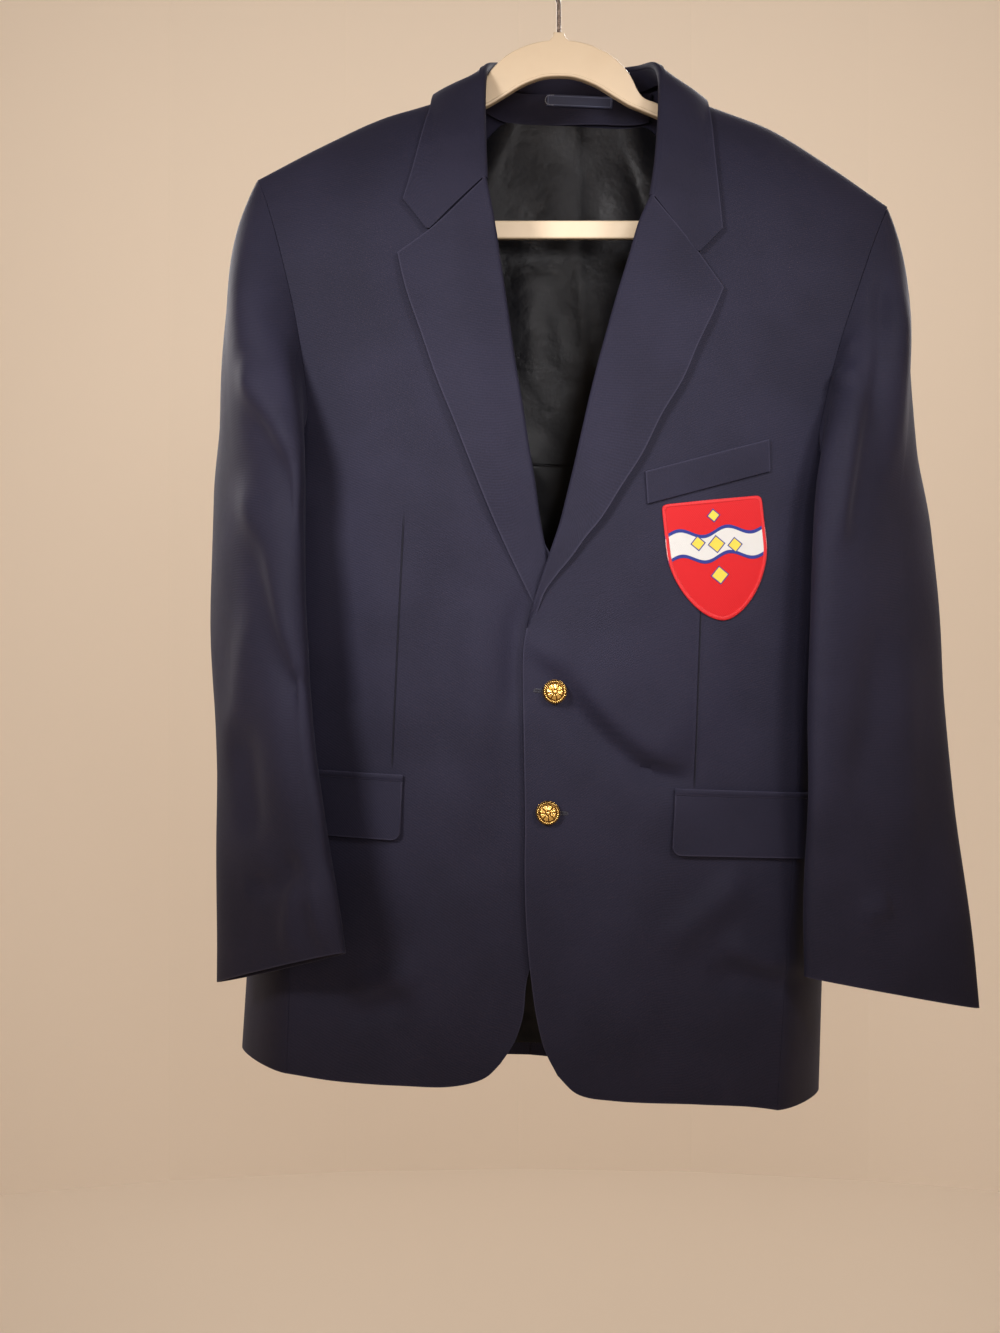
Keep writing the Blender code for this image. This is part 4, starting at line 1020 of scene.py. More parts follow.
@dataclass(frozen=True)
class WireFinish:
    """Dark bronzed wire with fine marks drawn along it."""

    name: str = "hook_wire"
    dark: Colour = (0.09, 0.065, 0.05)
    bright: Colour = (0.30, 0.24, 0.19)

    def make(self) -> Material:
        """Builds the material.

        Returns:
            The material.
        """
        g = Graph(self.name, 0.34, 0.9)
        wear = g.noise(g.place(), 420.0, 5.0)
        g.raise_by(g.times(wear, 0.05))
        g.set(Base_Color=g.mix(g.step(wear, 0.4, 0.8), self.dark, self.bright))
        g.set(Roughness=g.step(wear, 0.3, 0.7, 0.26, 0.46))
        return g.material


@dataclass(frozen=True)
class StageFinish:
    """Plain pale paint for the floor and the backdrop."""

    name: str = "studio_paint"
    pale: Colour = (0.66, 0.565, 0.47)
    deep: Colour = (0.58, 0.495, 0.41)
    glow: float = 0.16

    def make(self) -> Material:
        """Builds the material.

        Returns:
            The material.
        """
        g = Graph(self.name, 0.9)
        colour = g.mix(g.times(g.noise(g.place(), 1.3, 3.0), 0.2), self.pale, self.deep)
        g.set(Base_Color=colour, Emission_Color=self.pale, Emission_Strength=self.glow)
        return g.material


class Stitches:
    """A Geometry Nodes tree that lays one rounded thread at each step along a line."""

    def __init__(self) -> None:
        """Builds the tree."""
        self.tree = bpy.data.node_groups.new("stitches_on_a_line", "GeometryNodeTree")
        face = self.tree.interface
        for way in ("OUTPUT", "INPUT"):
            face.new_socket("Geometry", in_out=way, socket_type="NodeSocketGeometry")
        self.sockets = {}
        kinds = {"Spacing": "Float", "Stitch Length": "Float", "Thread Radius": "Float", "Thread": "Material"}
        for name, kind in kinds.items():
            socket = face.new_socket(name, in_out="INPUT", socket_type="NodeSocket" + kind)
            self.sockets[name] = socket.identifier
        add, link = self.tree.nodes.new, self.tree.links.new
        given, made = add("NodeGroupInput"), add("NodeGroupOutput")
        line, steps = add("GeometryNodeMeshToCurve"), add("GeometryNodeResampleCurve")
        steps.mode = "LENGTH"
        thread = add("GeometryNodeMeshUVSphere")
        for name, value in (("Segments", 7), ("Rings", 5), ("Radius", 1.0)):
            thread.inputs[name].default_value = value
        size, half = add("ShaderNodeCombineXYZ"), add("ShaderNodeMath")
        half.operation, half.inputs[1].default_value = "MULTIPLY", 0.5
        turn = [add("FunctionNodeAlignRotationToVector") for _ in range(2)]
        for node, axis, name in zip(turn, "XZ", ("way", "out")):
            node.axis = axis
            mark = add("GeometryNodeInputNamedAttribute")
            mark.data_type = "FLOAT_VECTOR"
            mark.inputs["Name"].default_value = name
            link(mark.outputs["Attribute"], node.inputs["Vector"])
        turn[1].pivot_axis = "X"
        lay = add("GeometryNodeInstanceOnPoints")
        real, dress = add("GeometryNodeRealizeInstances"), add("GeometryNodeSetMaterial")
        wires = (
            (given, "Geometry", line, 0), (line, 0, steps, "Curve"), (given, "Spacing", steps, "Length"),
            (given, "Stitch Length", half, 0), (half, 0, size, 0),
            (given, "Thread Radius", size, 1), (given, "Thread Radius", size, 2),
            (turn[0], 0, turn[1], "Rotation"), (steps, 0, lay, "Points"), (thread, "Mesh", lay, "Instance"),
            (turn[1], 0, lay, "Rotation"), (size, 0, lay, "Scale"), (lay, 0, real, 0), (real, 0, dress, "Geometry"),
            (given, "Thread", dress, "Material"), (dress, 0, made, 0),
        )
        for source, output, target, entry in wires:
            link(source.outputs[output], target.inputs[entry])

    def sew(self, name: str, lines: Sequence[Line], sizes: Spot, thread: Material) -> None:
        """Sews along lines.

        Args:
            name: Name of the finished piece.
            lines: For each line its points in metres, the way of each stitch and the way out of the cloth.
            sizes: Distance between stitches, length of a stitch and radius of the thread, in mm.
            thread: Its material.
        """
        points, edges, ways, outs = [], [], [], []
        for spots, way, out in lines:
            first = len(points)
            points += spots.tolist()
            edges += [(first + i, first + i + 1) for i in range(len(spots) - 1)]
            ways += np.broadcast_to(way, spots.shape).tolist()
            outs += np.broadcast_to(out, spots.shape).tolist()
        mesh = bpy.data.meshes.new(name + "_line")
        mesh.from_pydata(points, edges, [])
        for label, values in (("way", ways), ("out", outs)):
            mark = mesh.attributes.new(label, "FLOAT_VECTOR", "POINT")
            mark.data.foreach_set("vector", np.array(values, np.float32).ravel())
        source = show(name + "_line", mesh)
        nodes = source.modifiers.new("stitches", "NODES")
        nodes.node_group = self.tree
        for label, value in zip(("Spacing", "Stitch Length", "Thread Radius"), sizes):
            nodes[self.sockets[label]] = value * MM
        nodes[self.sockets["Thread"]] = thread
        sewn = baked(source)
        sewn.name = name
        sewn.shade_smooth()
        obj = show(name, sewn)
        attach(obj, "root")
        LOG.info("%s: %d faces", name, len(sewn.polygons))


@dataclass
class WoolPieces:
    """What the classes of wool pieces share: the coat's shape and the cloth."""

    form: CoatForm
    wool: Material

    def piece(self, name: str, node: str, grid: Array, outward: Spot, slot: str = "navy_wool", **more: Any) -> None:
        """Makes a piece of the wool.

        Args:
            name: Name of the finished piece.
            node: CAD node that it stands for.
            grid: Rows of points in mm, in the coat's frame.
            outward: Rough way out of the cloth at the grid's middle.
            slot: The record's material slot.
            **more: The other values of ClothPiece.
        """
        ClothPiece(name, node, slot, grid, outward, self.wool, **more).make(self.form)


@dataclass
class Body(WoolPieces):
    """Foreparts, side panels and backs, sewn to each other at their edges."""

    gap: float = 0.1
    roll_gap: float = 0.3
    dart_pinch: float = 0.7
    dart_half: float = 4.0
    across: int = 54
    down: int = 170
    front_edge: dict[Side, Rows] = sides(
        ((-395, -12), (-420, 4), (-447, 20), (-513, 24), (-600, 21), (-660, 12), (-710, 0), (-744, -8.8),
         (-777, -11.2), (-797, -17.5), (-813, -27)),
        ((-447, -18.3), (-461.5, -22.4), (-482, -24.6), (-513, -23.1), (-565, -19.8), (-616, -16.6), (-663, -14.7),
         (-711, -10.4), (-744, -5.6), (-776, 0.7), (-800, 8.3), (-819, 19)),
    )
    front_hem: dict[Side, Rows] = sides(
        ((27, -813), (37, -824), (58.6, -832), (107, -835), (156, -836), (200, -834)),
        ((19, -819), (34, -832.6), (62.6, -838), (136, -840), (187, -843), (200, -845)),
    )
    back_hem: dict[Side, Rows] = sides(((0, -832), (120, -834), (246, -831)), ((0, -832), (120, -838), (246, -844)))
    neck_end: dict[Side, float] = sides(-82.0, 70.0)
    back_neck: Rows = ((-70, 0), (-42, 4), (-6, 5.5), (30, 5), (57, 3))
    darts: dict[Side, Rows] = sides(((-380, -125), (-578, -125)), ((-413, 116), (-584, 118)))

    def _side_edge(self, side: Side, arm: Curve, seam: Curve, low: float) -> Path:
        """The edge of a panel down its armhole and its side seam.

        Args:
            side: Which side.
            arm: Distance of the armhole by height.
            seam: Distance of the seam by height.
            low: Height of the hem.

        Returns:
            The edge, as x and height.
        """
        form, sign = self.form, side.value
        z = np.linspace(form.armhole[0][0], form.armhole_low, 18)
        down = list(zip(sign * arm(z), z))
        z = np.linspace(form.armhole_low - 20, low, 12)
        return Path(down + list(zip(sign * seam(z), z)))

    def _meet(self, flat: Array, neck: float) -> Array:
        """Brings the top of a panel up to the shoulder ridge, from its neck end out.

        Args:
            flat: Rows of x and height.
            neck: Distance of the neck end from the centre.

        Returns:
            The same rows, raised near the top.
        """
        x, top = flat[0, :, 0], flat[0, :, 1].copy()
        short = (self.form.ridge(x) - top) * smooth((abs(x) - neck) / 6)
        flat[..., 1] += short * np.exp(np.minimum(flat[..., 1] - top, 0.0) / 14)
        return flat

    def forepart(self, side: Side) -> None:
        """Builds a forepart, from the shoulder seam to the hem and from the roll and the front edge to the side seam.

        Args:
            side: Which one.
        """
        form, sign = self.form, side.value
        xs = np.linspace(form.roll[side][0][1] + sign * 6, sign * form.shoulder_end, 14)
        ridge = np.stack([xs, form.ridge(xs)], -1)
        edge = [(x, z) for z, x in self.front_edge[side]]
        roll = [(x, z) for z, x in form.roll[side][1:] if z > edge[0][1] + 12]
        roll = [(x + sign * (float(form.roll_radius(side, z)) + self.roll_gap), z) for x, z in roll]
        inner = Path([tuple(ridge[0]), *roll, *edge[1:]])
        hem = self.front_hem[side]
        outer = self._side_edge(side, form.armhole_front, form.front_seam, hem[-1][1])
        bottom = Path([edge[-1]] + [(sign * d, low) for d, low in hem[1:]])
        down = np.unique(np.concatenate([edged(self.down, 850) ** 1.35, np.linspace(0.955, 1, 22)]))
        flat = self._meet(fill(Path(ridge), bottom, inner, outer, edged(self.across, 200), down, self.gap), 0.0)
        x, z = flat[..., 0], flat[..., 1]
        y = np.minimum(form.front(side, x, z), form.ridge_y - self.gap)
        (high, first), (low, last) = self.darts[side]
        line = np.interp(-z, [-high, -low], [first, last])
        shown = smooth((high + 10 - z) / 22) * smooth((z - low + 4) / 10)
        y = y + self.dart_pinch * shown * np.exp(-(((x - line) / self.dart_half) ** 2))
        grid, free = np.stack([x, y, z], -1), (Free.INNER, Free.BOTTOM)
        seam = {"seam": x - line, "seam_on": shown}
        self.piece(f"forepart_{side.label}", f"front_{side.label}", grid, AHEAD, free=free, rounding=0.4, **seam)

    def side_panel(self, side: Side) -> None:
        """Builds the panel under an arm, from the armhole to the hem.

        Args:
            side: Which one.
        """
        share = np.clip(edged(26, 75), 0.0015, 0.9985)
        start = self.form.under_arm(share) - self.gap
        end = (1 - share) * self.front_hem[side][-1][1] + share * self.back_hem[side][-1][1]
        grid = self.form.side(side, share[None], start + (end - start) * edged(100, 550)[:, None] ** 1.1)
        label, way = side.label, (side.value, 0, 0)
        self.piece(f"side_body_{label}", f"side_panel_{label}", grid, way, free=(Free.BOTTOM,))

    def back(self, side: Side) -> None:
        """Builds half of the back, from the neck and the shoulder to the hem.

        Args:
            side: Which half.
        """
        form, sign, middle = self.form, side.value, self.form.neck_middle
        xs = np.linspace(self.neck_end[side], sign * form.shoulder_end, 14)
        neck = sorted((p for p in self.back_neck if (p[0] - middle) * sign >= 0), key=lambda p: abs(p[0] - middle))
        low = self.back_hem[side]
        drop = low[0][1] - neck[0][1]
        inner = Path([(middle + 6 * t - self.roll_gap * sign, neck[0][1] + drop * t) for t in (0, 0.3, 0.6, 1)])
        outer = self._side_edge(side, form.armhole_back, form.back_seam, low[-1][1])
        top, bottom = Path(neck + list(zip(xs, form.ridge(xs)))), Path([(sign * d, h) for d, h in low])
        flat = fill(top, bottom, inner, outer, edged(self.across, 240), edged(self.down, 850) ** 1.5, self.gap)
        flat = self._meet(flat, abs(self.neck_end[side]))
        x, z = flat[..., 0], flat[..., 1]
        grid = np.stack([x, np.maximum(form.back(x, z), form.ridge_y + self.gap), z], -1)
        seam = {"seam": abs(x - x[:, :1]), "seam_on": np.ones(x.shape)}
        name, free = f"back_half_{side.label}", (Free.BOTTOM,)
        self.piece(name, f"back_{side.label}", grid, (0, 1, 0), free=free, rounding=0.4, **seam)

    def make(self) -> None:
        """Builds all six panels."""
        for side in Side:
            self.forepart(side)
            self.side_panel(side)
            self.back(side)


@dataclass
class Sleeves(WoolPieces):
    """The two-piece sleeves, from the armhole to the cuff.

    The rings hold height, centre distance, centre depth, half width, half thickness, turn and slant of the end. The
    head holds the way that the sleeve leaves the armhole: share round it, outward, forward, down.
    """

    rings: dict[Side, Rows] = sides(
        ((-362, 249, -25, 93, 21, 64, 0), (-466, 243.5, -38, 90, 21, 62, 0), (-565, 230.5, -57, 86, 20, 60, 0),
         (-655, 218, -72, 80, 18, 52, 8), (-743, 207, -80, 74, 16, 43, 22)),
        ((-362, 263, -20, 93, 22, 52, 0), (-437, 267, -28, 92, 22, 47.5, 0), (-509, 271, -31, 90, 21, 44, 0),
         (-587, 277, -37, 86, 19, 38, 3), (-668, 284, -42, 81, 18, 25, 8), (-744, 289.5, -50, 77, 16, 13, 12)),
    )
    ring_power: float = 2.3
    head: Rows = (
        (0.0, 0.45, 0.0, 0.9), (0.12, 0.7, 0.3, 0.65), (0.2, 0.5, 0.5, 0.7), (0.26, 0.2, 0.65, 0.75),
        (0.32, 0.0, 0.6, 0.8), (0.4, 0.1, 0.4, 0.9), (0.5, 0.5, 0.0, 0.85), (0.58, 0.5, -0.4, 0.75),
        (0.65, 0.6, -0.7, 0.5), (0.75, 0.7, -0.6, 0.4), (0.88, 0.75, -0.35, 0.6), (1.0, 0.45, 0.0, 0.9),
    )
    head_share: float = 0.36
    upper: Pair = (-0.225, 0.28)
    under: Pair = (0.28, 0.775)
    gap: float = 0.0003
    probe: float = 0.002
    hidden_shift: Pair = (6.0, 34.0)
    hidden_share: float = 0.6

    def _ring(self, side: Side, row: tuple[float, ...]) -> Path:
        """One section of the sleeve, from its outer line, front first."""
        z, centre, depth, half_wide, half_thin, turn, slant = row
        turn = math.radians(turn)
        angle = np.linspace(0, 2 * math.pi, 73)
        along = -np.copysign(abs(np.sin(angle)) ** (2 / self.ring_power), np.sin(angle))
        out = np.copysign(abs(np.cos(angle)) ** (2 / self.ring_power), np.cos(angle))
        x = centre + along * half_wide * math.cos(turn) + out * half_thin * math.sin(turn)
        y = depth + along * half_wide * math.sin(turn) - out * half_thin * math.cos(turn)
        return Path(np.stack([side.value * x, y, z - slant * along], -1))

    def surface(self, side: Side, around: Array, down: Array) -> Array:
        """Points of the smooth sleeve.

        Args:
            side: Which sleeve.
            around: Shares round it, for the columns.
            down: Shares down it, for the rows.

        Returns:
            A grid of points.
        """
        rings = self.rings[side]
        heights = np.array([row[0] for row in rings], float)
        rest = self.head_share + (1 - self.head_share) * (heights[0] - heights) / (heights[0] - heights[-1])
        keys = np.concatenate([[0.0], rest])
        u = around % 1.0
        spots = np.stack([self.form.armhole_line(side)(u)] + [self._ring(side, row)(u) for row in rings])
        outward, forward, fall = (Curve(self.head, i)(u) for i in (1, 2, 3))
        way = np.stack([side.value * outward, -forward, -fall], -1)
        reach = np.linalg.norm(spots[1] - spots[0], axis=-1, keepdims=True)
        slopes = [way * reach / self.head_share, (spots[2] - spots[1]) / (keys[2] - keys[1])]
        slopes += [(spots[i + 1] - spots[i - 1]) / (keys[i + 1] - keys[i - 1]) for i in range(2, len(spots) - 1)]
        slopes = np.stack([*slopes, (spots[-1] - spots[-2]) / (keys[-1] - keys[-2])])
        i = np.clip(np.searchsorted(keys, down, side="right") - 1, 0, len(keys) - 2)
        span = (keys[i + 1] - keys[i])[:, None, None]
        t = (down - keys[i])[:, None, None] / span
        return between(t, span, spots[i], spots[i + 1], slopes[i], slopes[i + 1])

    def folded(self, side: Side, around: Array, down: Array) -> Array:
        """The sleeve with its folds, those of the hidden side shifted from those that are seen.

        Args:
            side: Which sleeve.
            around: Shares round it.
            down: Shares down it.

        Returns:
            A grid of points.
        """
        base = self.surface(side, around, down)
        step, sign = self.probe, side.value
        round_way = self.surface(side, around + step, down) - self.surface(side, around - step, down)
        low, high = np.clip(down - step, 0, 1), np.clip(down + step, 0, 1)
        normal = unit(np.cross(round_way, self.surface(side, around, high) - self.surface(side, around, low))) * sign
        if np.mean(normal[:, 0, 0]) * sign < 0 and abs(around[0]) < 0.25:
            normal = -normal
        x, z = base[..., 0], base[..., 2]
        ahead = smooth((0.25 - normal[..., 1]) / 0.5)
        seen = sum(fold.at(x, z) for fold in SLEEVE_FOLDS[side])
        middle = sign * Curve(self.rings[side], 1)(z)
        mirrored = 2 * middle - x - self.hidden_shift[0] * sign
        hidden = sum(fold.at(mirrored, z + self.hidden_shift[1]) for fold in SLEEVE_FOLDS[side])
        lift = ahead * seen + (1 - ahead) * self.hidden_share * hidden
        lift = lift + 0.6 * np.sin(z / 37 + x / 29) * np.sin(around * 2 * math.pi * 3 + z / 71)
        fade = smooth(down / 0.06)[:, None] * (1 - 0.45 * smooth((down - 0.93) / 0.07))[:, None]
        return base + normal * (lift * fade)[..., None]

    def make(self) -> None:
        """Builds both parts of both sleeves."""
        down = np.unique(np.concatenate([0.0004 + 0.9996 * edged(118, 670) ** 1.12, [0.004, 0.009, 0.016]]))
        for side in Side:
            for part, (first, last), way in (("upper", self.upper, 1), ("under", self.under, -1)):
                around = np.clip(first + (last - first) * edged(78, 190), first + self.gap, last - self.gap)
                node, outward = f"sleeve_{side.label}_{part}", (0.8 * way * side.value, -0.6 * way, 0)
                self.piece(node + "_cloth", node, self.folded(side, around, down), outward, free=(Free.BOTTOM,))


def fold_arc(fold: Array, edge: Array, along: Array, radius: Array, hint: Array) -> tuple[Array, Array]:
    """Sections of cloth turned back round a fold.

    Args:
        fold: Points on the outside of the fold.
        edge: Points that the cloth turns back to.
        along: Ways along the fold.
        radius: Radius of the fold in each section.
        hint: Rough ways out of the turned-back cloth.

    Returns:
        The arcs and the ways out.
    """
    back = fold - edge
    back = unit(back - along * np.sum(back * along, -1, keepdims=True))
    out = np.cross(along, back)
    out = out * np.where(np.sum(out * hint, -1, keepdims=True) < 0, -1, 1)
    centre = fold - radius[..., None] * back
    angle = np.linspace(-math.pi / 2, math.pi / 2, ARC_POINTS)[None, :, None]
    turned = back[:, None] * np.cos(angle) + out[:, None] * np.sin(angle)
    return centre[:, None] + radius[..., None][:, None] * turned, out


@dataclass
class Lapels(WoolPieces):
    """The lapels, each from the inside of its roll to its outer edge."""

    edge: dict[Side, Rows] = sides(
        ((-164.7, -140.7), (-192, -133), (-230, -118), (-267, -103.3), (-299, -88.6), (-335, -72.5), (-373, -55),
         (-409, -36.5), (-430, -25), (-446, -16)),
        ((-181.3, 123), (-197, 117.2), (-229, 103.8), (-258, 92.8), (-287, 77.2), (-320, 62.6), (-347, 47),
         (-374, 31.5), (-390, 19.6), (-404, 10.7), (-419, -0.6), (-433, -9.5), (-452, -15.5), (-461, -19)),
    )
    settle: float = 60.0
    lift_run: float = 14.0
    stand_run: float = 40.0
    tuck: float = 1.4
    stand_off: float = 4.0
    taper: float = 150.0
    sink: float = 2.4
    sink_run: float = 26.0
    down: int = 110

    def level(self, side: Side, x: Array, z: Array) -> Array:
        """Depth of the outer face of a lapel away from its roll."""
        return self.form.front(side, x, z) - CLOTH - LAY

    def lapel(self, side: Side) -> None:
        """Builds a lapel.

        Args:
            side: Which one.
        """
        form = self.form
        gorge, notch, _ = (np.array(point, float) for point in form.gorge[side])
        down = edged(self.down, 330)
        tuck = self.tuck * np.array([side.value, 1.0])
        top = Path([gorge + tuck, notch + tuck, self.edge[side][0][::-1]])
        roll = Path([top(0.0)] + [(x, z) for z, x in form.roll[side] if z < gorge[1] - 8])
        edge = Path([(x, z) for z, x in self.edge[side]])
        chord = np.linalg.norm(edge(down) - roll(down), axis=-1)
        radius = np.minimum(form.roll_radius(side, roll(down)[:, 1]), np.maximum(0.35 * chord, 0.9))
        start = np.minimum(radius / chord, 0.5)[:, None]
        across = np.concatenate([np.zeros((len(down), 1)), start + (1 - start) * edged(30, 90)[1:]], 1)
        flat = fill(top, Path([roll(1.0), edge(1.0)]), roll, edge, across, down, 0.0)
        x, z = flat[..., 0], flat[..., 1]
        spots = np.stack([x, self.level(side, x, z), z], -1)
        fold = np.stack([x[:, 0], form.front(side, x[:, 0], z[:, 0]) + CLOTH - radius, z[:, 0]], -1)
        line = np.gradient(flat[:, 0], axis=0)
        along = unit(np.stack([line[:, 0], np.zeros(len(line)), line[:, 1]], -1))
        arc, _ = fold_arc(fold, spots[:, -1], along, radius, np.broadcast_to(AHEAD, fold.shape))
        rise = arc[:, -1, 1] - spots[:, 0, 1]
        reach = np.where(rise < 0, self.settle, self.lift_run)[:, None]
        run = np.linalg.norm(spots[:, 1:] - spots[:, :1], axis=-1) - radius[:, None]
        spots[:, 1:, 1] += rise[:, None] * (1 - smooth(run / reach))
        left = z[:, :1] - z[-1, 0]
        full = smooth(left / self.taper) * smooth((z[0, 0] + 30 - z[:, :1]) / 60)
        spots[:, 1:, 1] -= self.stand_off * full * smooth(run / self.stand_run)
        if side is Side.LEFT:
            spots[:, 1:, 1] += self.sink * (1 - smooth(left / self.sink_run))
        name, grid = f"lapel_{side.label}", np.concatenate([arc, spots[:, 1:]], 1)
        self.piece(name + "_cloth", name, grid, AHEAD, free=(Free.OUTER, Free.TOP), rounding=0.7)

    def make(self) -> None:
        """Builds both lapels."""
        for side in Side:
            self.lapel(side)


@dataclass
class Collar(WoolPieces):
    """The collar, its fold line and its outer edge given as x, y, z, and the stand inside it."""

    rows: dict[Side, tuple[tuple[Any, Any], ...]] = sides(
        (((-70.5, None, -101), (-138.4, None, -120)), ((-72.5, None, -78), (-133, None, -96)),
         ((-75, None, -45), (-127.7, None, -66)), ((-76.5, -24, -12), (-123, None, -38)),
         ((-75, 4, 12), (-119, 4, -15)), ((-64, 30, 22), (-101, 24, -22)), ((-38, 50, 26), (-64, 60, -24)),
         ((-6, 56, 28), (-6, 71, -22))),
        (((59.8, None, -109.4), (120.3, None, -132.9)), ((62.5, None, -86), (117, None, -106)),
         ((64.8, None, -50), (113, None, -70)), ((66, -24, -6), (110.5, None, -36)), ((62, 4, 20), (107, 4, -9)),
         ((50, 30, 25), (88, 24, -15)), ((25, 50, 27), (51, 62, -21)), ((-6, 56, 28), (-6, 71, -22))),
    )
    neck_seam: Rows = (
        (-77, -21, -28), (-80, -7, -13), (-82, 4, -4), (-79, 15, 3), (-70, 36, 4), (-42, 56, 5), (-6, 62, 6.5),
        (30, 56, 6), (57, 36, 5), (67, 15, 4), (72, 4, 0), (71, -7, -10), (68, -21, -25),
    )
    notch_share: float = 0.66
    notch_fade: float = 45.0
    stand_low: float = -30.0
    rise: float = 2.4
    hug: float = 2.6
    girth: float = 480.0
    puff: float = 2.5
    stand_gap: float = 0.4

    def _lines(self) -> tuple[Path, Path]:
        """The fold line and the outer edge, from the right gorge to the left one."""
        form, folds, edges = self.form, [], []
        right, left = self.rows[Side.RIGHT], self.rows[Side.LEFT][-2::-1]
        for side, rows in ((Side.RIGHT, right), (Side.LEFT, left)):
            for (fx, fy, fz), (ex, ey, ez) in rows:
                fy = float(form.front(side, fx, fz)) - form.fold_radius + CLOTH if fy is None else fy
                ey = float(form.front(side, ex, ez)) - CLOTH - LAY - 1.4 if ey is None else ey
                folds.append((fx, fy, fz))
                edges.append((ex, ey, ez))
        return Path(folds), Path(edges)

    def make(self) -> None:
        """Builds the collar and its stand."""
        form = self.form
        fold_line, edge_line = self._lines()
        t = edged(170, self.girth)
        fold, edge = fold_line(t), edge_line(t)
        along = unit(fold_line(np.minimum(t + 0.01, 1)) - fold_line(np.maximum(t - 0.01, 0)))
        hint = np.stack([fold[:, 0] * 0.6, fold[:, 1], np.full(len(t), 30.0)], -1)
        arc, out = fold_arc(fold, edge, along, np.full(len(t), form.fold_radius), hint)
        share, start = edged(22, 50)[1:], arc[:, -1:]
        flat = start + (edge[:, None] - start) * share[None, :, None]
        flat = flat + out[:, None] * (self.puff * 4 * share * (1 - share))[None, :, None]
        grid = np.concatenate([arc, flat], 1)
        whole = np.concatenate([np.zeros(ARC_POINTS), share])
        tent = np.minimum(whole / self.notch_share, (1 - whole) / (1 - self.notch_share))
        fade = 1 - smooth(np.minimum(t, 1 - t) * self.girth / self.notch_fade)
        for side, here in ((Side.RIGHT, t < 0.5), (Side.LEFT, t >= 0.5)):
            gorge, notch, point = (np.array(spot, float) for spot in form.gorge[side])
            shift = notch - gorge - (point - gorge) * self.notch_share
            grid[..., [0, 2]] += shift * ((fade * here)[:, None] * tent)[..., None]
        rise = CLOTH + LAY + self.rise - self.hug * np.exp(-(((edge[:, 1:2] - 6) / 24) ** 2))
        fall = grid[:, ARC_POINTS:]
        grid[:, ARC_POINTS:] = form.clear(fall, np.broadcast_to(rise, fall.shape[:2]))
        self.piece("collar_fall", "collar", grid, (0, 0.3, 1), free=(Free.OUTER,), rounding=0.7)
        tops = arc[fold[:, 2] > self.stand_low, 0]
        lows = Path(self.neck_seam)(np.linspace(0, 1, len(tops)))
        tops = tops + unit(lows - tops) * self.stand_gap
        grid = tops[None] + (lows - tops)[None] * edged(14, 25)[:, None, None]
        self.piece("collar_stand_cloth", "collar_stand", grid, AHEAD)


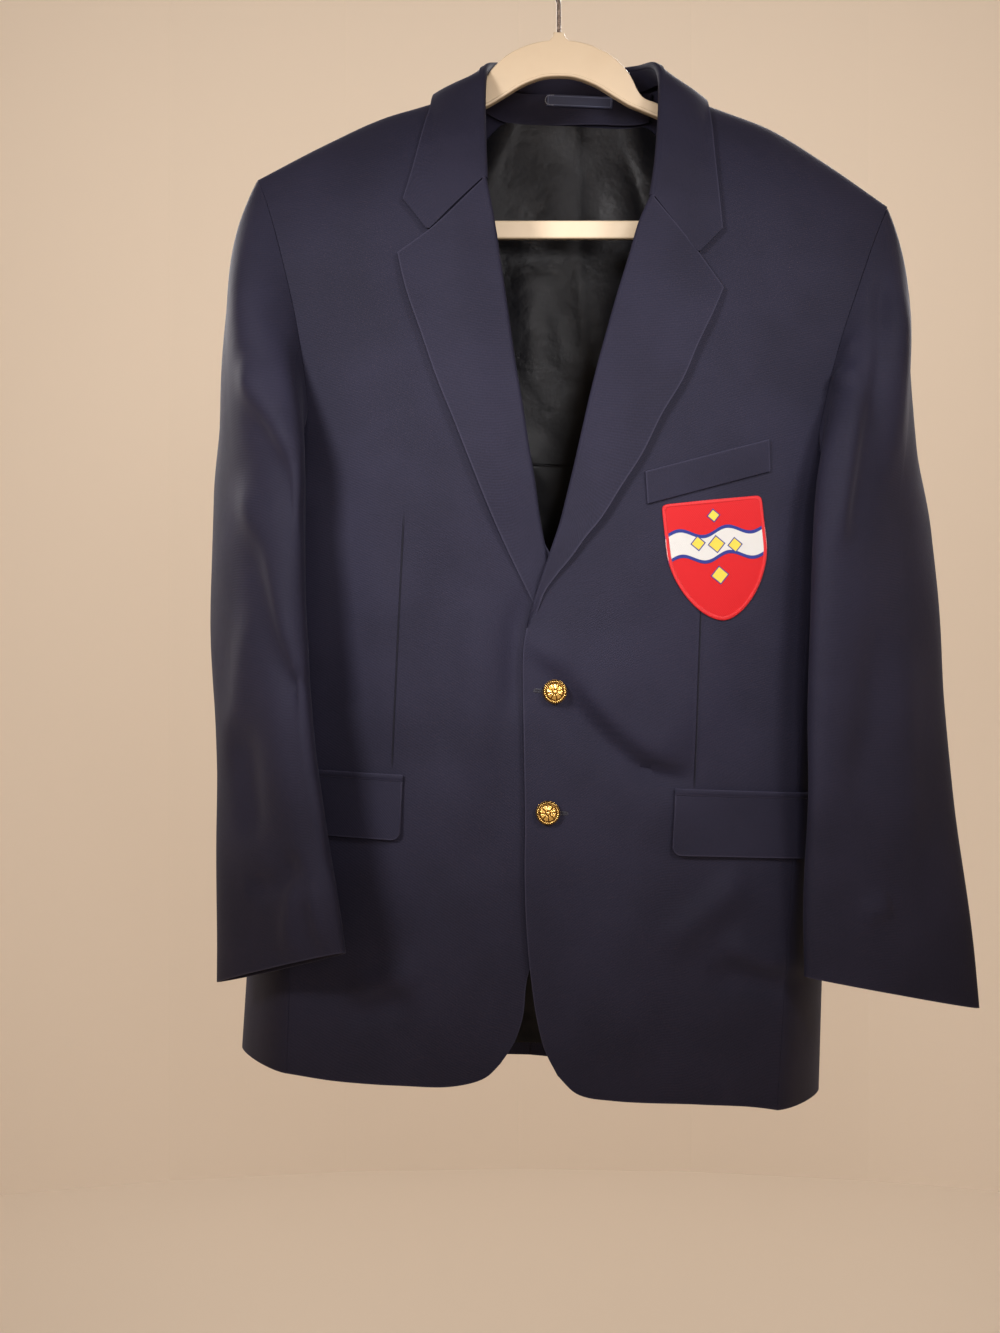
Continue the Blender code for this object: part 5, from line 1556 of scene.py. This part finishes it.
@dataclass
class Pockets(WoolPieces):
    """The chest welt, and the hip pockets with their jettings and flaps."""

    welt: Rows = ((66, -333.3), (166, -301), (168, -327), (69, -359.5))
    flap: dict[Side, tuple[float, float, float]] = sides((115.5, -590, -637), (102, -590.5, -638.5))
    side_share: float = 0.5
    corner: float = 6.5
    jet: float = 5.5
    flare: float = 1.4
    level: float = -600.0
    end_steps: tuple[float, ...] = (0.0, 0.25, 0.8, 1.7, 3.0, 4.6, 6.4, 8.2)
    lay: float = 1.2

    def _hip(self, side: Side, reach: Array, z: Array, lift: Array | float) -> Array:
        """Points out from the coat at a reach along its section from the centre, round on to the side panel.

        Args:
            side: Which side.
            reach: Distances along the section.
            z: Heights.
            lift: Distances out.

        Returns:
            The points.
        """
        form, sign = self.form, side.value
        reach, z = np.broadcast_arrays(reach, z)

        def flat(distance: Array) -> Array:
            """Points on the coat itself."""
            seam = form.front_seam(z)
            ahead = np.stack([sign * distance, form.front(side, sign * distance, z)], -1)
            start, end = form.side(side, 0.0, z), form.side(side, 1.0, z)
            share = np.clip((distance - seam) / np.linalg.norm(end - start, axis=-1), 0, 1)
            return np.where((distance <= seam)[..., None], ahead, form.side(side, share, z)[..., :2])

        way = unit(flat(reach + 4) - flat(reach - 4))
        out = sign * np.stack([way[..., 1], -way[..., 0]], -1)
        at = flat(reach) + np.asarray(lift)[..., None] * out
        return np.concatenate([at, z[..., None]], -1)

    def hip_pocket(self, side: Side) -> None:
        """Builds a flap and the jetting above it.

        Args:
            side: Which side.
        """
        form, label = self.form, side.label
        start, top, low = self.flap[side]
        panel = form.side(side, 1.0, self.level) - form.side(side, 0.0, self.level)
        wide = float(form.front_seam(self.level)) + self.side_share * float(np.linalg.norm(panel)) - start
        ends = np.array(self.end_steps)
        across = np.unique(np.concatenate([ends, wide - ends, np.linspace(9, wide - 9, 34)]))
        near = np.minimum(np.minimum(across, wide - across), self.corner)
        round_off = self.corner - np.sqrt(np.maximum(self.corner**2 - (self.corner - near) ** 2, 0))
        down = edged(18, 47)[:, None]
        lift = CLOTH + self.lay + self.flare * down**1.5 + 0.5 * np.sin(across / 19 + 1) * down
        grid = self._hip(side, start + across[None], top + (low + round_off - top) * down, lift)
        free, way = (Free.INNER, Free.OUTER, Free.BOTTOM), (side.value * 0.3, -1, 0)
        self.piece(f"flap_{label}_cloth", f"flap_{label}", grid, way, "navy_trim", free=free, rounding=0.75)
        share = edged(8, self.jet)[:, None]
        lift = CLOTH + self.lay - 0.2 + 0.9 * np.sin(math.pi * share)
        grid = self._hip(side, start + across[None], top + 0.2 + self.jet * (1 - share), lift)
        free = (Free.TOP, Free.BOTTOM)
        self.piece(f"jetting_{label}_cloth", f"jetting_{label}", grid, way, "navy_trim", free=free, rounding=0.8)

    def chest_welt(self) -> None:
        """Builds the welt of the chest pocket."""
        a, b, c, d = (np.array(corner, float) for corner in self.welt)
        v, u = np.meshgrid(edged(14, 26), edged(40, 105), indexing="ij")
        puff = 0.5 * np.sin(math.pi * u) * np.sin(math.pi * v) + 0.4 * (1 - v)
        u, v = u[..., None], v[..., None]
        flat = (1 - v) * ((1 - u) * a + u * b) + v * ((1 - u) * d + u * c)
        x, z = flat[..., 0], flat[..., 1]
        grid = np.stack([x, self.form.front(Side.LEFT, x, z) - CLOTH - 0.3 - puff, z], -1)
        free = (Free.TOP, Free.INNER, Free.OUTER)
        self.piece("chest_welt", "welt_pocket", grid, AHEAD, "navy_trim", free=free)

    def make(self) -> None:
        """Builds all the pockets."""
        for side in Side:
            self.hip_pocket(side)
        self.chest_welt()


@dataclass
class Badge:
    """A shield-shaped embroidered badge with a corded border, sewn on under the welt."""

    form: CoatForm
    cloth: Material
    border: Material
    centre: Pair = (127, -392)
    turn: float = math.radians(9)
    half: Pair = (41.0, 46.0)
    thickness: float = 1.2
    puff: float = 0.35
    sectors: int = 200

    def _outline(self, angle: Array) -> Array:
        """Half-size of the shield in each direction, with 1 as its half width."""
        x, z = np.cos(angle), np.sin(angle)
        high = np.minimum(1 / np.maximum(abs(x), 1e-6), 0.86 / np.maximum(z, 1e-6))
        low = 1 / (abs(x) ** 1.7 + (abs(z) / 1.25) ** 1.7) ** (1 / 1.7)
        return np.where(z >= 0, high, low)

    def _place(self, flat: Array, lift: Array | float) -> Array:
        """Lays points of the badge's own plane on the coat.

        Args:
            flat: Points in mm from its centre.
            lift: Distances out from the cloth.

        Returns:
            The points in the coat's frame.
        """
        cos, sin = math.cos(self.turn), math.sin(self.turn)
        x = self.centre[0] + flat[..., 0] * cos - flat[..., 1] * sin
        z = self.centre[1] + flat[..., 0] * sin + flat[..., 1] * cos
        return np.stack([x, self.form.front(Side.LEFT, x, z) - lift, z], -1)

    def make(self, stitches: Stitches) -> None:
        """Builds the badge and its border.

        Args:
            stitches: The tree that sews.
        """
        angle = 2 * math.pi * (np.arange(self.sectors) + 0.5) / self.sectors
        rings = np.concatenate([np.linspace(0.0, 0.96, 24)[1:], [0.985, 1.0]])
        rim = self._outline(angle)[:, None] * np.stack([np.cos(angle), np.sin(angle)], -1) * self.half
        for _ in range(3):
            rim = 0.5 * rim + 0.25 * (np.roll(rim, 1, 0) + np.roll(rim, -1, 0))
        flat = np.concatenate([(rings[:, None, None] * rim[None]).reshape(-1, 2), np.zeros((1, 2))])
        puff = self.puff * np.sin(math.pi * np.append(np.repeat(rings, self.sectors), 0.0))
        points = self.form.to_world(self._place(flat, TRIM - 0.2 + puff))
        index, after, faces = ring_faces(len(rings), self.sectors)
        faces += [(index.size, int(b), int(a)) for a, b in zip(index[0], after[0])]
        a, b, c = points[faces[0][:3]]
        if np.cross(b - a, c - a)[1] > 0:
            faces = [face[::-1] for face in faces]
        mesh = smooth_mesh("badge", points, faces, self.cloth)
        write_cut(mesh, flat)
        obj = show("badge", mesh)
        solid = obj.modifiers.new("thickness", "SOLIDIFY")
        solid.thickness, solid.offset = self.thickness * MM, -1.0
        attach(obj, "root")
        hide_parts("patch")
        after = np.roll(rim, -1, 0)
        dense = Path(np.concatenate([rim, rim[:1]]))(np.linspace(0, 1, 400))
        line, inner = (self.form.to_world(self._place(dense * share, lift)) for share, lift in ((1, 1.1), (0.93, 1.5)))
        thread = [(line * 0.55 + inner * 0.45, unit(line - inner), AHEAD)]
        stitches.sew("badge_border", thread, (0.6, 3.6, 0.5), self.border)


@dataclass
class NeckInside(WoolPieces):
    """What shows inside the back of the neck: facing, label and lining."""

    satin: Material
    woven: Material
    thread: Material
    facing_ends: Pair = (-77.0, 63.0)
    facing_heights: Pair = (4.5, -21.0)
    facing_depth: float = 6.0
    label_ends: Pair = (-25.0, 32.0)
    label_heights: Pair = (3.0, -7.0)
    lining_half: float = 222.0
    lining_low: float = -820.0
    lining_depth: float = 6.2
    lining_seam: float = -317.0
    slack_from: float = -28.0
    pleat_x: Spot = (3.0, 22.0, 26.0)
    pleat_rise: float = 2.2
    label_tack: Rows = ((-19.5, 2.4), (-24.8, 1.2), (-26.2, -2.0), (-24.8, -5.2), (-19.5, -6.2))

    def _inside(self, x: Array, z: Array, depth: float | Array) -> Array:
        """Points inside the back, at a distance from its outer face."""
        return np.stack([x, self.form.inside_back(x, z, depth), z], -1)

    def facing(self) -> None:
        """Builds the strip of wool round the inside of the neck."""
        u, v = np.meshgrid(edged(60, 110), edged(14, 25))
        first, last = self.facing_ends
        high, low = self.facing_heights
        x = first + (last - first) * u
        z = high - 1.5 + (low - 2 * np.sin(2 * math.pi * u) - high) * v - 5 * (2 * u - 1) ** 2 * (1 - v)
        grid = self._inside(x, z, self.facing_depth)
        self.piece("neck_facing_cloth", "neck_facing", grid, AHEAD, thickness=TRIM, free=(Free.BOTTOM,))

    def label(self, stitches: Stitches) -> None:
        """Builds the blank label and the thread that holds its end.

        Args:
            stitches: The tree that sews.
        """
        u, v = np.meshgrid(edged(40, 57), edged(10, 10))
        x = self.label_ends[0] + (self.label_ends[1] - self.label_ends[0]) * u
        z = self.label_heights[0] + (self.label_heights[1] - self.label_heights[0]) * v
        grid = self._inside(x, z, self.facing_depth + 0.4 + LINING + 0.4 * np.sin(math.pi * u) ** 2)
        values = ("neck_label", "label", "label_blue", grid, AHEAD, self.woven, LINING)
        ClothPiece(*values, free=tuple(Free), rounding=0.3).make(self.form)
        x, z = Path(self.label_tack)(np.linspace(0, 1, 30)).T
        world = self.form.to_world(self._inside(x, z, self.facing_depth + 1.7))
        line = (world, unit(np.gradient(world, axis=0)), AHEAD)
        stitches.sew("label_stitches", [line], (1.5, 1.5, 0.3), self.thread)

    def lining(self) -> None:
        """Builds the back lining, with its pleat down the middle and its loose wrinkles."""
        u, v = np.meshgrid(edged(130, 444), edged(130, 750))
        x = self.lining_half * (2 * u - 1)
        top = self.facing_heights[1] - 2.5 - 77 * smooth((abs(x) - 55) / 60) - 0.55 * np.maximum(0.0, abs(x) - 115)
        z = top + (self.lining_low - top) * v**1.15
        beside = x - np.interp(-z, (22, 264, 830), self.pleat_x)
        pleat = np.where(beside < 0, np.exp(beside / 26), np.exp(-beside / 2.4))
        pleat = pleat * self.pleat_rise * (1 - 0.8 * smooth(-z / 700))
        slack = smooth((self.slack_from - z) / 90) * smooth((210 - abs(x)) / 60)
        waves = 3.0 * np.sin(x / 13 + 0.9 * np.sin(z / 60)) * np.sin(z / 190 + x / 70 + 0.6)
        waves = waves + 2.2 * np.sin(z / 24 + x / 19 + 1.4 * np.sin(x / 40)) * np.sin(x / 33 - z / 110)
        waves = waves + 1.2 * np.sin((x + 0.7 * z) / 17) * np.sin((z - x) / 71)
        grid = self._inside(x, z, self.lining_depth + pleat + slack * (waves + 4.6))
        seam = {"seam": z - self.lining_seam, "seam_on": smooth((-300 - z) / 6) * smooth((z + 328) / 6)}
        values = ("back_lining", "lining_back", "black_satin", grid, AHEAD, self.satin, LINING)
        ClothPiece(*values, rounding=0.3, **seam).make(self.form)

    def make(self, stitches: Stitches) -> None:
        """Builds all three.

        Args:
            stitches: The tree that sews.
        """
        self.facing()
        self.label(stitches)
        self.lining()


def solid_piece(name: str, mesh: Mesh, finish: Material, slot: str, *nodes: str) -> None:
    """Args:
        name: Its name.
        mesh: Its mesh, in the frame's metres.
        finish: Its material.
        slot: The record's material slot; not used.
        *nodes: CAD nodes that it stands for.
    """
    mesh.materials.clear()
    mesh.materials.append(finish)
    obj = show(name, mesh)
    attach(obj, "root")
    if nodes:
        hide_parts(*nodes)
    LOG.info("%s: %d faces", name, len(mesh.polygons))


@dataclass
class ShankButtons:
    """Stamped shank buttons with a rope rim and an eight-petalled rosette, and their buttonholes."""

    form: CoatForm
    gold: Material
    thread: Material
    profile: Rows = (
        (0.0, 7.3), (3.0, 7.1), (6.0, 6.3), (7.6, 5.7), (8.2, 5.9), (8.9, 5.4), (9.4, 4.4), (9.5, 3.7), (9.1, 3.0),
        (6.0, 2.6), (2.6, 2.4), (2.2, 0.4),
    )
    sectors: int = 96
    rope: float = 8.2
    strands: int = 32
    stamp: float = 0.85
    shoulder: float = 4.2
    turns: Pair = (0.1, 0.27)
    holes: Rows = ((-512, -13.5, 8.0), (-608.5, -6.0, 16.0))
    lapel_hole: Rows = ((81.5, -189.5), (98.5, -205.5))

    def _relief(self, radius: Array, angle: Array, turn: float) -> Array:
        """The stamped pattern, from 0 in its ground to 1: petals with veins, a boss and the rope rim.

        Args:
            radius: Distances from the middle.
            angle: Angles round it.
            turn: Turn of the petals.

        Returns:
            The heights.
        """
        inside = smooth(6.9 - radius) * smooth((radius - 1.9) / 0.7)
        petal = smooth((abs(np.cos(4 * (angle + turn))) - 0.12) / 0.4) * inside
        vein = 0.35 * np.exp(-((np.sin(4 * (angle + turn)) / 0.16) ** 2)) * petal
        twist = 0.55 + 0.45 * np.sin(self.strands * angle + radius * 2.2)
        rope = np.exp(-(((radius - self.rope) / 0.75) ** 2)) * twist
        return np.clip(petal - vein + smooth((1.7 - radius) / 0.6) + rope, 0, 1)

    def button(self, name: str, node: str, spot: Sequence[float], turn: float) -> None:
        """Builds one button.

        Args:
            name: Name of the piece.
            node: CAD node that it stands for.
            spot: Its x and height on the coat.
            turn: Turn of its pattern.
        """
        profile = np.array(self.profile)
        length = np.concatenate([[0], np.cumsum(np.linalg.norm(np.diff(profile, axis=0), axis=1))])
        steps = np.concatenate([np.linspace(0.03, 0.52, 30), np.linspace(0.54, 1.0, 14)]) * length[-1]
        radius, height = (np.interp(steps, length, column)[:, None] for column in profile.T)
        angle = np.arange(self.sectors)[None] / self.sectors * 2 * math.pi
        top = (height > self.shoulder).astype(float)
        relief = self._relief(radius, angle, turn) * top
        y = float(self.form.front(Side.LEFT, *spot)) - (height + self.stamp * relief - 0.5 * top)
        x, z = spot[0] + radius * np.cos(angle), spot[1] + radius * np.sin(angle)
        ends = [[spot[0], y[0].mean() - 0.02, spot[1]], [spot[0], y[-1].mean(), spot[1]]]
        points = np.concatenate([np.stack([x, y, z], -1).reshape(-1, 3), ends])
        index, after, faces = ring_faces(len(steps), self.sectors)
        faces = [face[::-1] for face in faces]
        faces += [(index.size, int(b), int(a)) for a, b in zip(index[0], after[0])]
        faces += [(index.size + 1, int(a), int(b)) for a, b in zip(index[-1], after[-1])]
        mesh = smooth_mesh(name, self.form.to_world(points), faces, self.gold)
        # The relief mark also drives the painted shade: darkest in the stamp's ground, partly shaded on the sides and
        # at the back.
        write_mark(mesh, "relief", np.append((relief + (1 - top) * 0.6).ravel(), [1.0, 0.5]))
        fix_normals(mesh)
        solid_piece(name, mesh, self.gold, "gold_button", node)

    def _slit(self, start: Sequence[float], end: Sequence[float], depth: Depth, half: float = 0.9) -> list[Line]:
        """Lines of thread on both sides of a cut and round its ends.

        Args:
            start: x and height of one end.
            end: x and height of the other.
            depth: Function that gives the depth of the cloth's face at x and height.
            half: Distance of the lines from the cut.

        Returns:
            The lines for Stitches.sew.
        """
        a, b = np.array(start, float), np.array(end, float)
        way = (b - a) / np.linalg.norm(b - a)
        across = np.array([-way[1], way[0]])
        angle = np.linspace(0, math.pi, 9)[:, None]
        cap = half * (np.sin(angle) * way - np.cos(angle) * across)
        x, z = Path(np.concatenate([b + cap, a - cap, b + cap[:1]]))(np.linspace(0, 1, 120)).T
        world = self.form.to_world(np.stack([x, depth(x, z) - 0.15, z], -1))
        return [(world, unit(np.cross(unit(np.gradient(world, axis=0)), AHEAD)), AHEAD)]

    def make(self, stitches: Stitches, lapels: Lapels) -> None:
        """Builds the buttons and sews the buttonholes.

        Args:
            stitches: The tree that sews.
            lapels: The lapels, for the face under the hole in one of them.
        """
        for name, spot, turn in zip(("button_upper", "button_lower"), self.form.button_spots, self.turns):
            self.button(name + "_gilt", name, spot, turn)
        lines = []
        for height, first, last in self.holes:
            lines += self._slit((first, height), (last, height), lambda x, z: self.form.front(Side.LEFT, x, z))
        stitches.sew("buttonholes", lines, (0.55, 2.0, 0.3), self.thread)
        line = self._slit(*self.lapel_hole, lambda x, z: lapels.level(Side.LEFT, x, z), 0.8)
        stitches.sew("lapel_buttonhole", line, (0.55, 1.9, 0.3), self.thread)


def fix_normals(mesh: Mesh) -> None:
    """Turns the faces of a closed mesh outwards."""
    work = bmesh.new()
    work.from_mesh(mesh)
    bmesh.ops.recalc_face_normals(work, faces=work.faces)
    work.to_mesh(mesh)
    work.free()


@dataclass
class Hanger:
    """The moulded arch, arms and bar in one, with a raised rim, and the bent wire of the hook.

    The arm holds distance from the middle, height of its top and of its underside, in the frame's own mm.
    """

    plastic: Material
    wire: Material
    middle: float = 1.5
    arm: Rows = (
        (0, -90.5, -121.5), (10, -91, -122), (30, -96, -128.5), (50, -108.5, -140.5), (61, -122, -146.8),
        (66.5, -133.5, -149), (81, -143, -155), (100, -148.5, -163), (130, -159.5, -174), (160, -171.5, -187),
        (188, -185, -201),
    )
    end: Rows = ((203, -196), (206, -214), (206, -236), (198, -251), (184, -257.2))
    inner_end: Rows = ((191, -207), (193, -222), (191, -236), (182, -242.1))
    thick: float = 8.0
    rounding: float = 1.6
    neck_top: float = -84.0
    neck_half: float = 4.6
    wire_radius: float = 1.9
    hook_radius: float = 24.0
    rim_radius: float = 1.5
    bend: Rows = ((-13.5, -43.5), (-6, -48), (-0.5, -53.5))

    def _outlines(self) -> tuple[list[Any], list[Any]]:
        """The right halves of the outer outline and of the window, from the top round."""
        top, low = Curve(self.arm, 1), Curve(self.arm, 2)
        last, neck = self.arm[-1][0], self.neck_half
        reach = np.concatenate([np.linspace(0, 100, 41), np.linspace(104, last, 22)])
        end = Path([(last, float(top(last))), *self.end])
        inner_end = Path([(last - 8, float(low(last - 8))), *self.inner_end])
        half = [(neck, self.neck_top), (neck + 0.6, self.neck_top - 3.5), (neck + 3.5, float(top(neck + 3.5)))]
        half += [(float(d), float(top(d))) for d in reach if d > neck + 5] + end(np.linspace(0.05, 1, 26)).tolist()
        window = [(float(d), float(low(d))) for d in reach if d < last - 9] + inner_end(np.linspace(0, 1, 22)).tolist()
        return half, window

    def moulding(self) -> None:
        """Builds the plastic part, which is drawn lying down and then stood up."""
        lines = []
        for half in self._outlines():
            whole = half + [(-d, z) for d, z in reversed(half) if d > 0]
            lines.append([(self.middle + d, z, 0) for d, z in whole])
        sizes = {"extrude": (self.thick / 2 - self.rounding) * MM, "offset": -self.rounding * MM}
        flat = self._drawn("hanger_outline", lines, True, self.rounding, dimensions="2D", fill_mode="BOTH", **sizes)
        points = np.empty(len(flat.vertices) * 3, np.float32)
        flat.vertices.foreach_get("co", points)
        points = points.reshape(-1, 3)[:, [0, 2, 1]] * (1, -1, 1)
        flat.vertices.foreach_set("co", points.astype(np.float32).ravel())
        fix_normals(flat)
        flat.shade_smooth()
        solid_piece("hanger_moulding", flat, self.plastic, "cream_plastic", "hanger")

    def rims(self) -> None:
        """Builds the raised rims along the underside of the arch."""
        low, reach = Curve(self.arm, 2), np.linspace(-168, 168, 121)
        lines = []
        for face in (-1, 1):
            depth = face * (self.thick / 2 - 0.7)
            lines.append([(self.middle + d, depth, float(low(abs(d))) + 1.7) for d in reach])
        mesh = self._drawn("hanger_rims", lines, False, self.rim_radius, dimensions="3D", use_fill_caps=True)
        mesh.shade_smooth()
        solid_piece("hanger_rims", mesh, self.plastic, "cream_plastic")

    def hook(self) -> None:
        """Builds the wire: an open ring over the rail, a bend back to the middle and a straight stem."""
        angle = np.radians(np.linspace(-15, 210, 17))
        centre_z = self.wire_radius - self.hook_radius
        points = list(zip(self.hook_radius * np.cos(angle), centre_z + self.hook_radius * np.sin(angle)))
        points += [*self.bend, (self.middle, -60), (self.middle, self.neck_top + 0.3)]
        line = [(x, 0, z) for x, z in Path(points)(np.linspace(0, 1, 160))]
        caps = {"dimensions": "3D", "use_fill_caps": True, "bevel_resolution": 5}
        mesh = self._drawn("hook_wire", [line], False, self.wire_radius, **caps)
        mesh.shade_smooth()
        solid_piece("hook_wire", mesh, self.wire, "hook_steel", "hanger_hook")

    def _drawn(self, name: str, lines: Sequence[Any], closed: bool, bevel: float, **settings: Any) -> Mesh:
        """Makes a mesh of rounded lines.

        Args:
            name: Name of the curve.
            lines: Each line's points, in mm.
            closed: Whether each line is a ring.
            bevel: Radius of the rounding, in mm.
            **settings: The curve's other settings.

        Returns:
            The mesh.
        """
        data = bpy.data.curves.new(name, "CURVE")
        for key, value in ({"bevel_resolution": 4, "bevel_depth": bevel * MM} | settings).items():
            setattr(data, key, value)
        for line in lines:
            spline = data.splines.new("POLY")
            spline.points.add(len(line) - 1)
            spline.use_cyclic_u = closed
            for spot, point in zip(spline.points, line):
                spot.co = (*(number * MM for number in point), 1)
        return baked(show(name, data))

    def make(self) -> None:
        """Builds the hanger and its hook."""
        self.moulding()
        self.rims()
        self.hook()


@dataclass(frozen=True)
class Lamp:
    """A square soft light, its size in metres, its power in watts and its spread in degrees."""

    name: str
    place: Spot
    aim: Spot
    size: float
    power: float
    spread: float
    colour: Colour = (1.0, 0.98, 1.0)

    def hang(self) -> None:
        """Hangs the light so that it faces its aim."""
        lamp = bpy.data.lights.new(self.name, "AREA")
        lamp.size, lamp.energy, lamp.color, lamp.spread = self.size, self.power, self.colour, math.radians(self.spread)
        obj = show(self.name, lamp)
        x, y, z = np.array(self.aim) - np.array(self.place)
        obj.location = self.place
        obj.rotation_euler = (math.atan2(math.hypot(x, y), -z), 0, math.atan2(-x, y))


@dataclass
class Studio:
    """The camera, the lights, the pale floor and the round backdrop."""

    camera_at: Spot = (-0.0479, -1.620, -0.6161)
    lens: float = 36 * 1600 / (1333 * 0.83)
    floor: float = -1.95
    floor_half: float = 9.0
    wall: float = 3.5
    wall_top: float = 4.5
    walls: int = 48
    sky: Colour = (0.80, 0.79, 0.76)
    sky_power: float = 0.1
    paint: StageFinish = field(default_factory=StageFinish)
    lamps: tuple[Lamp, ...] = (
        Lamp("key_front", (0.3, -1.95, -0.3), (0.02, 0.0, -0.46), 0.4, 0.5, 27),
        Lamp("key_right", (0.9, -1.35, 0.3), (0.05, 0.0, -0.48), 0.5, 0.85, 30),
        Lamp("key_left", (-1.05, -1.4, 0.15), (-0.06, 0.0, -0.48), 0.45, 1.45, 30),
        Lamp("back_right", (0.9, 2.0, 0.7), (0.0, 0.0, -0.5), 1.2, 24, 100, (1.0, 0.98, 0.99)),
        Lamp("back_left", (-1.1, 1.9, 0.5), (0.0, 0.0, -0.5), 1.2, 16, 100, (1.0, 0.98, 0.99)),
        Lamp("backdrop_wash", (0.0, 1.2, 1.0), (0.0, 3.2, -0.7), 2.4, 34, 140, (1.0, 0.95, 0.88)),
    )

    def _sheet(self, name: str, points: Rows, material: Material) -> None:
        """Puts up one flat stage piece."""
        mesh = bpy.data.meshes.new(name)
        mesh.from_pydata(points, [], [tuple(range(len(points)))])
        mesh.materials.append(material)
        show(name, mesh)

    def make(self) -> None:
        """Sets up the studio."""
        scene = bpy.context.scene
        lens = bpy.data.cameras.new("camera")
        lens.sensor_fit, lens.sensor_width, lens.lens = "AUTO", 36, self.lens
        scene.camera = show("camera", lens)
        scene.camera.location, scene.camera.rotation_euler = self.camera_at, (math.radians(90), 0, 0)
        scene.view_settings.view_transform = "Standard"
        paint, z, r = self.paint.make(), self.floor, self.floor_half
        self._sheet("floor", ((-r, -r, z), (r, -r, z), (r, r, z), (-r, r, z)), paint)
        for number in range(self.walls):
            turns = (2 * math.pi * (number + k) / self.walls for k in (0, 1))
            (ax, ay), (bx, by) = ((self.wall * math.sin(turn), self.wall * math.cos(turn)) for turn in turns)
            corners = ((ax, ay, z), (bx, by, z), (bx, by, self.wall_top), (ax, ay, self.wall_top))
            self._sheet(f"backdrop_{number}", corners, paint)
        scene.world = bpy.data.worlds.new("studio")
        scene.world.use_nodes = True
        background = scene.world.node_tree.nodes["Background"]
        background.inputs[0].default_value, background.inputs[1].default_value = (*self.sky, 1), self.sky_power
        for lamp in self.lamps:
            lamp.hang()


def main() -> None:
    """Builds every piece in order and dresses it."""
    logging.basicConfig(level=logging.INFO, format="%(name)s %(message)s")
    form = CoatForm()
    wool = WoolFinish().make()
    seam_thread = ThreadFinish("navy_thread", (0.020, 0.020, 0.034)).make()
    pale_thread = ThreadFinish("pale_thread", (0.45, 0.46, 0.52)).make()
    stitches = Stitches()
    Body(form, wool).make()
    Sleeves(form, wool).make()
    lapels = Lapels(form, wool)
    lapels.make()
    Collar(form, wool).make()
    Pockets(form, wool).make()
    Badge(form, BadgeFinish().make(), ThreadFinish("badge_border_thread", (0.62, 0.004, 0.008)).make()).make(stitches)
    NeckInside(form, wool, SatinFinish().make(), LabelFinish().make(), pale_thread).make(stitches)
    ShankButtons(form, GoldFinish().make(), seam_thread).make(stitches, lapels)
    Hanger(PlasticFinish().make(), WireFinish().make()).make()
    Studio().make()


if __name__ == "__main__":
    main()
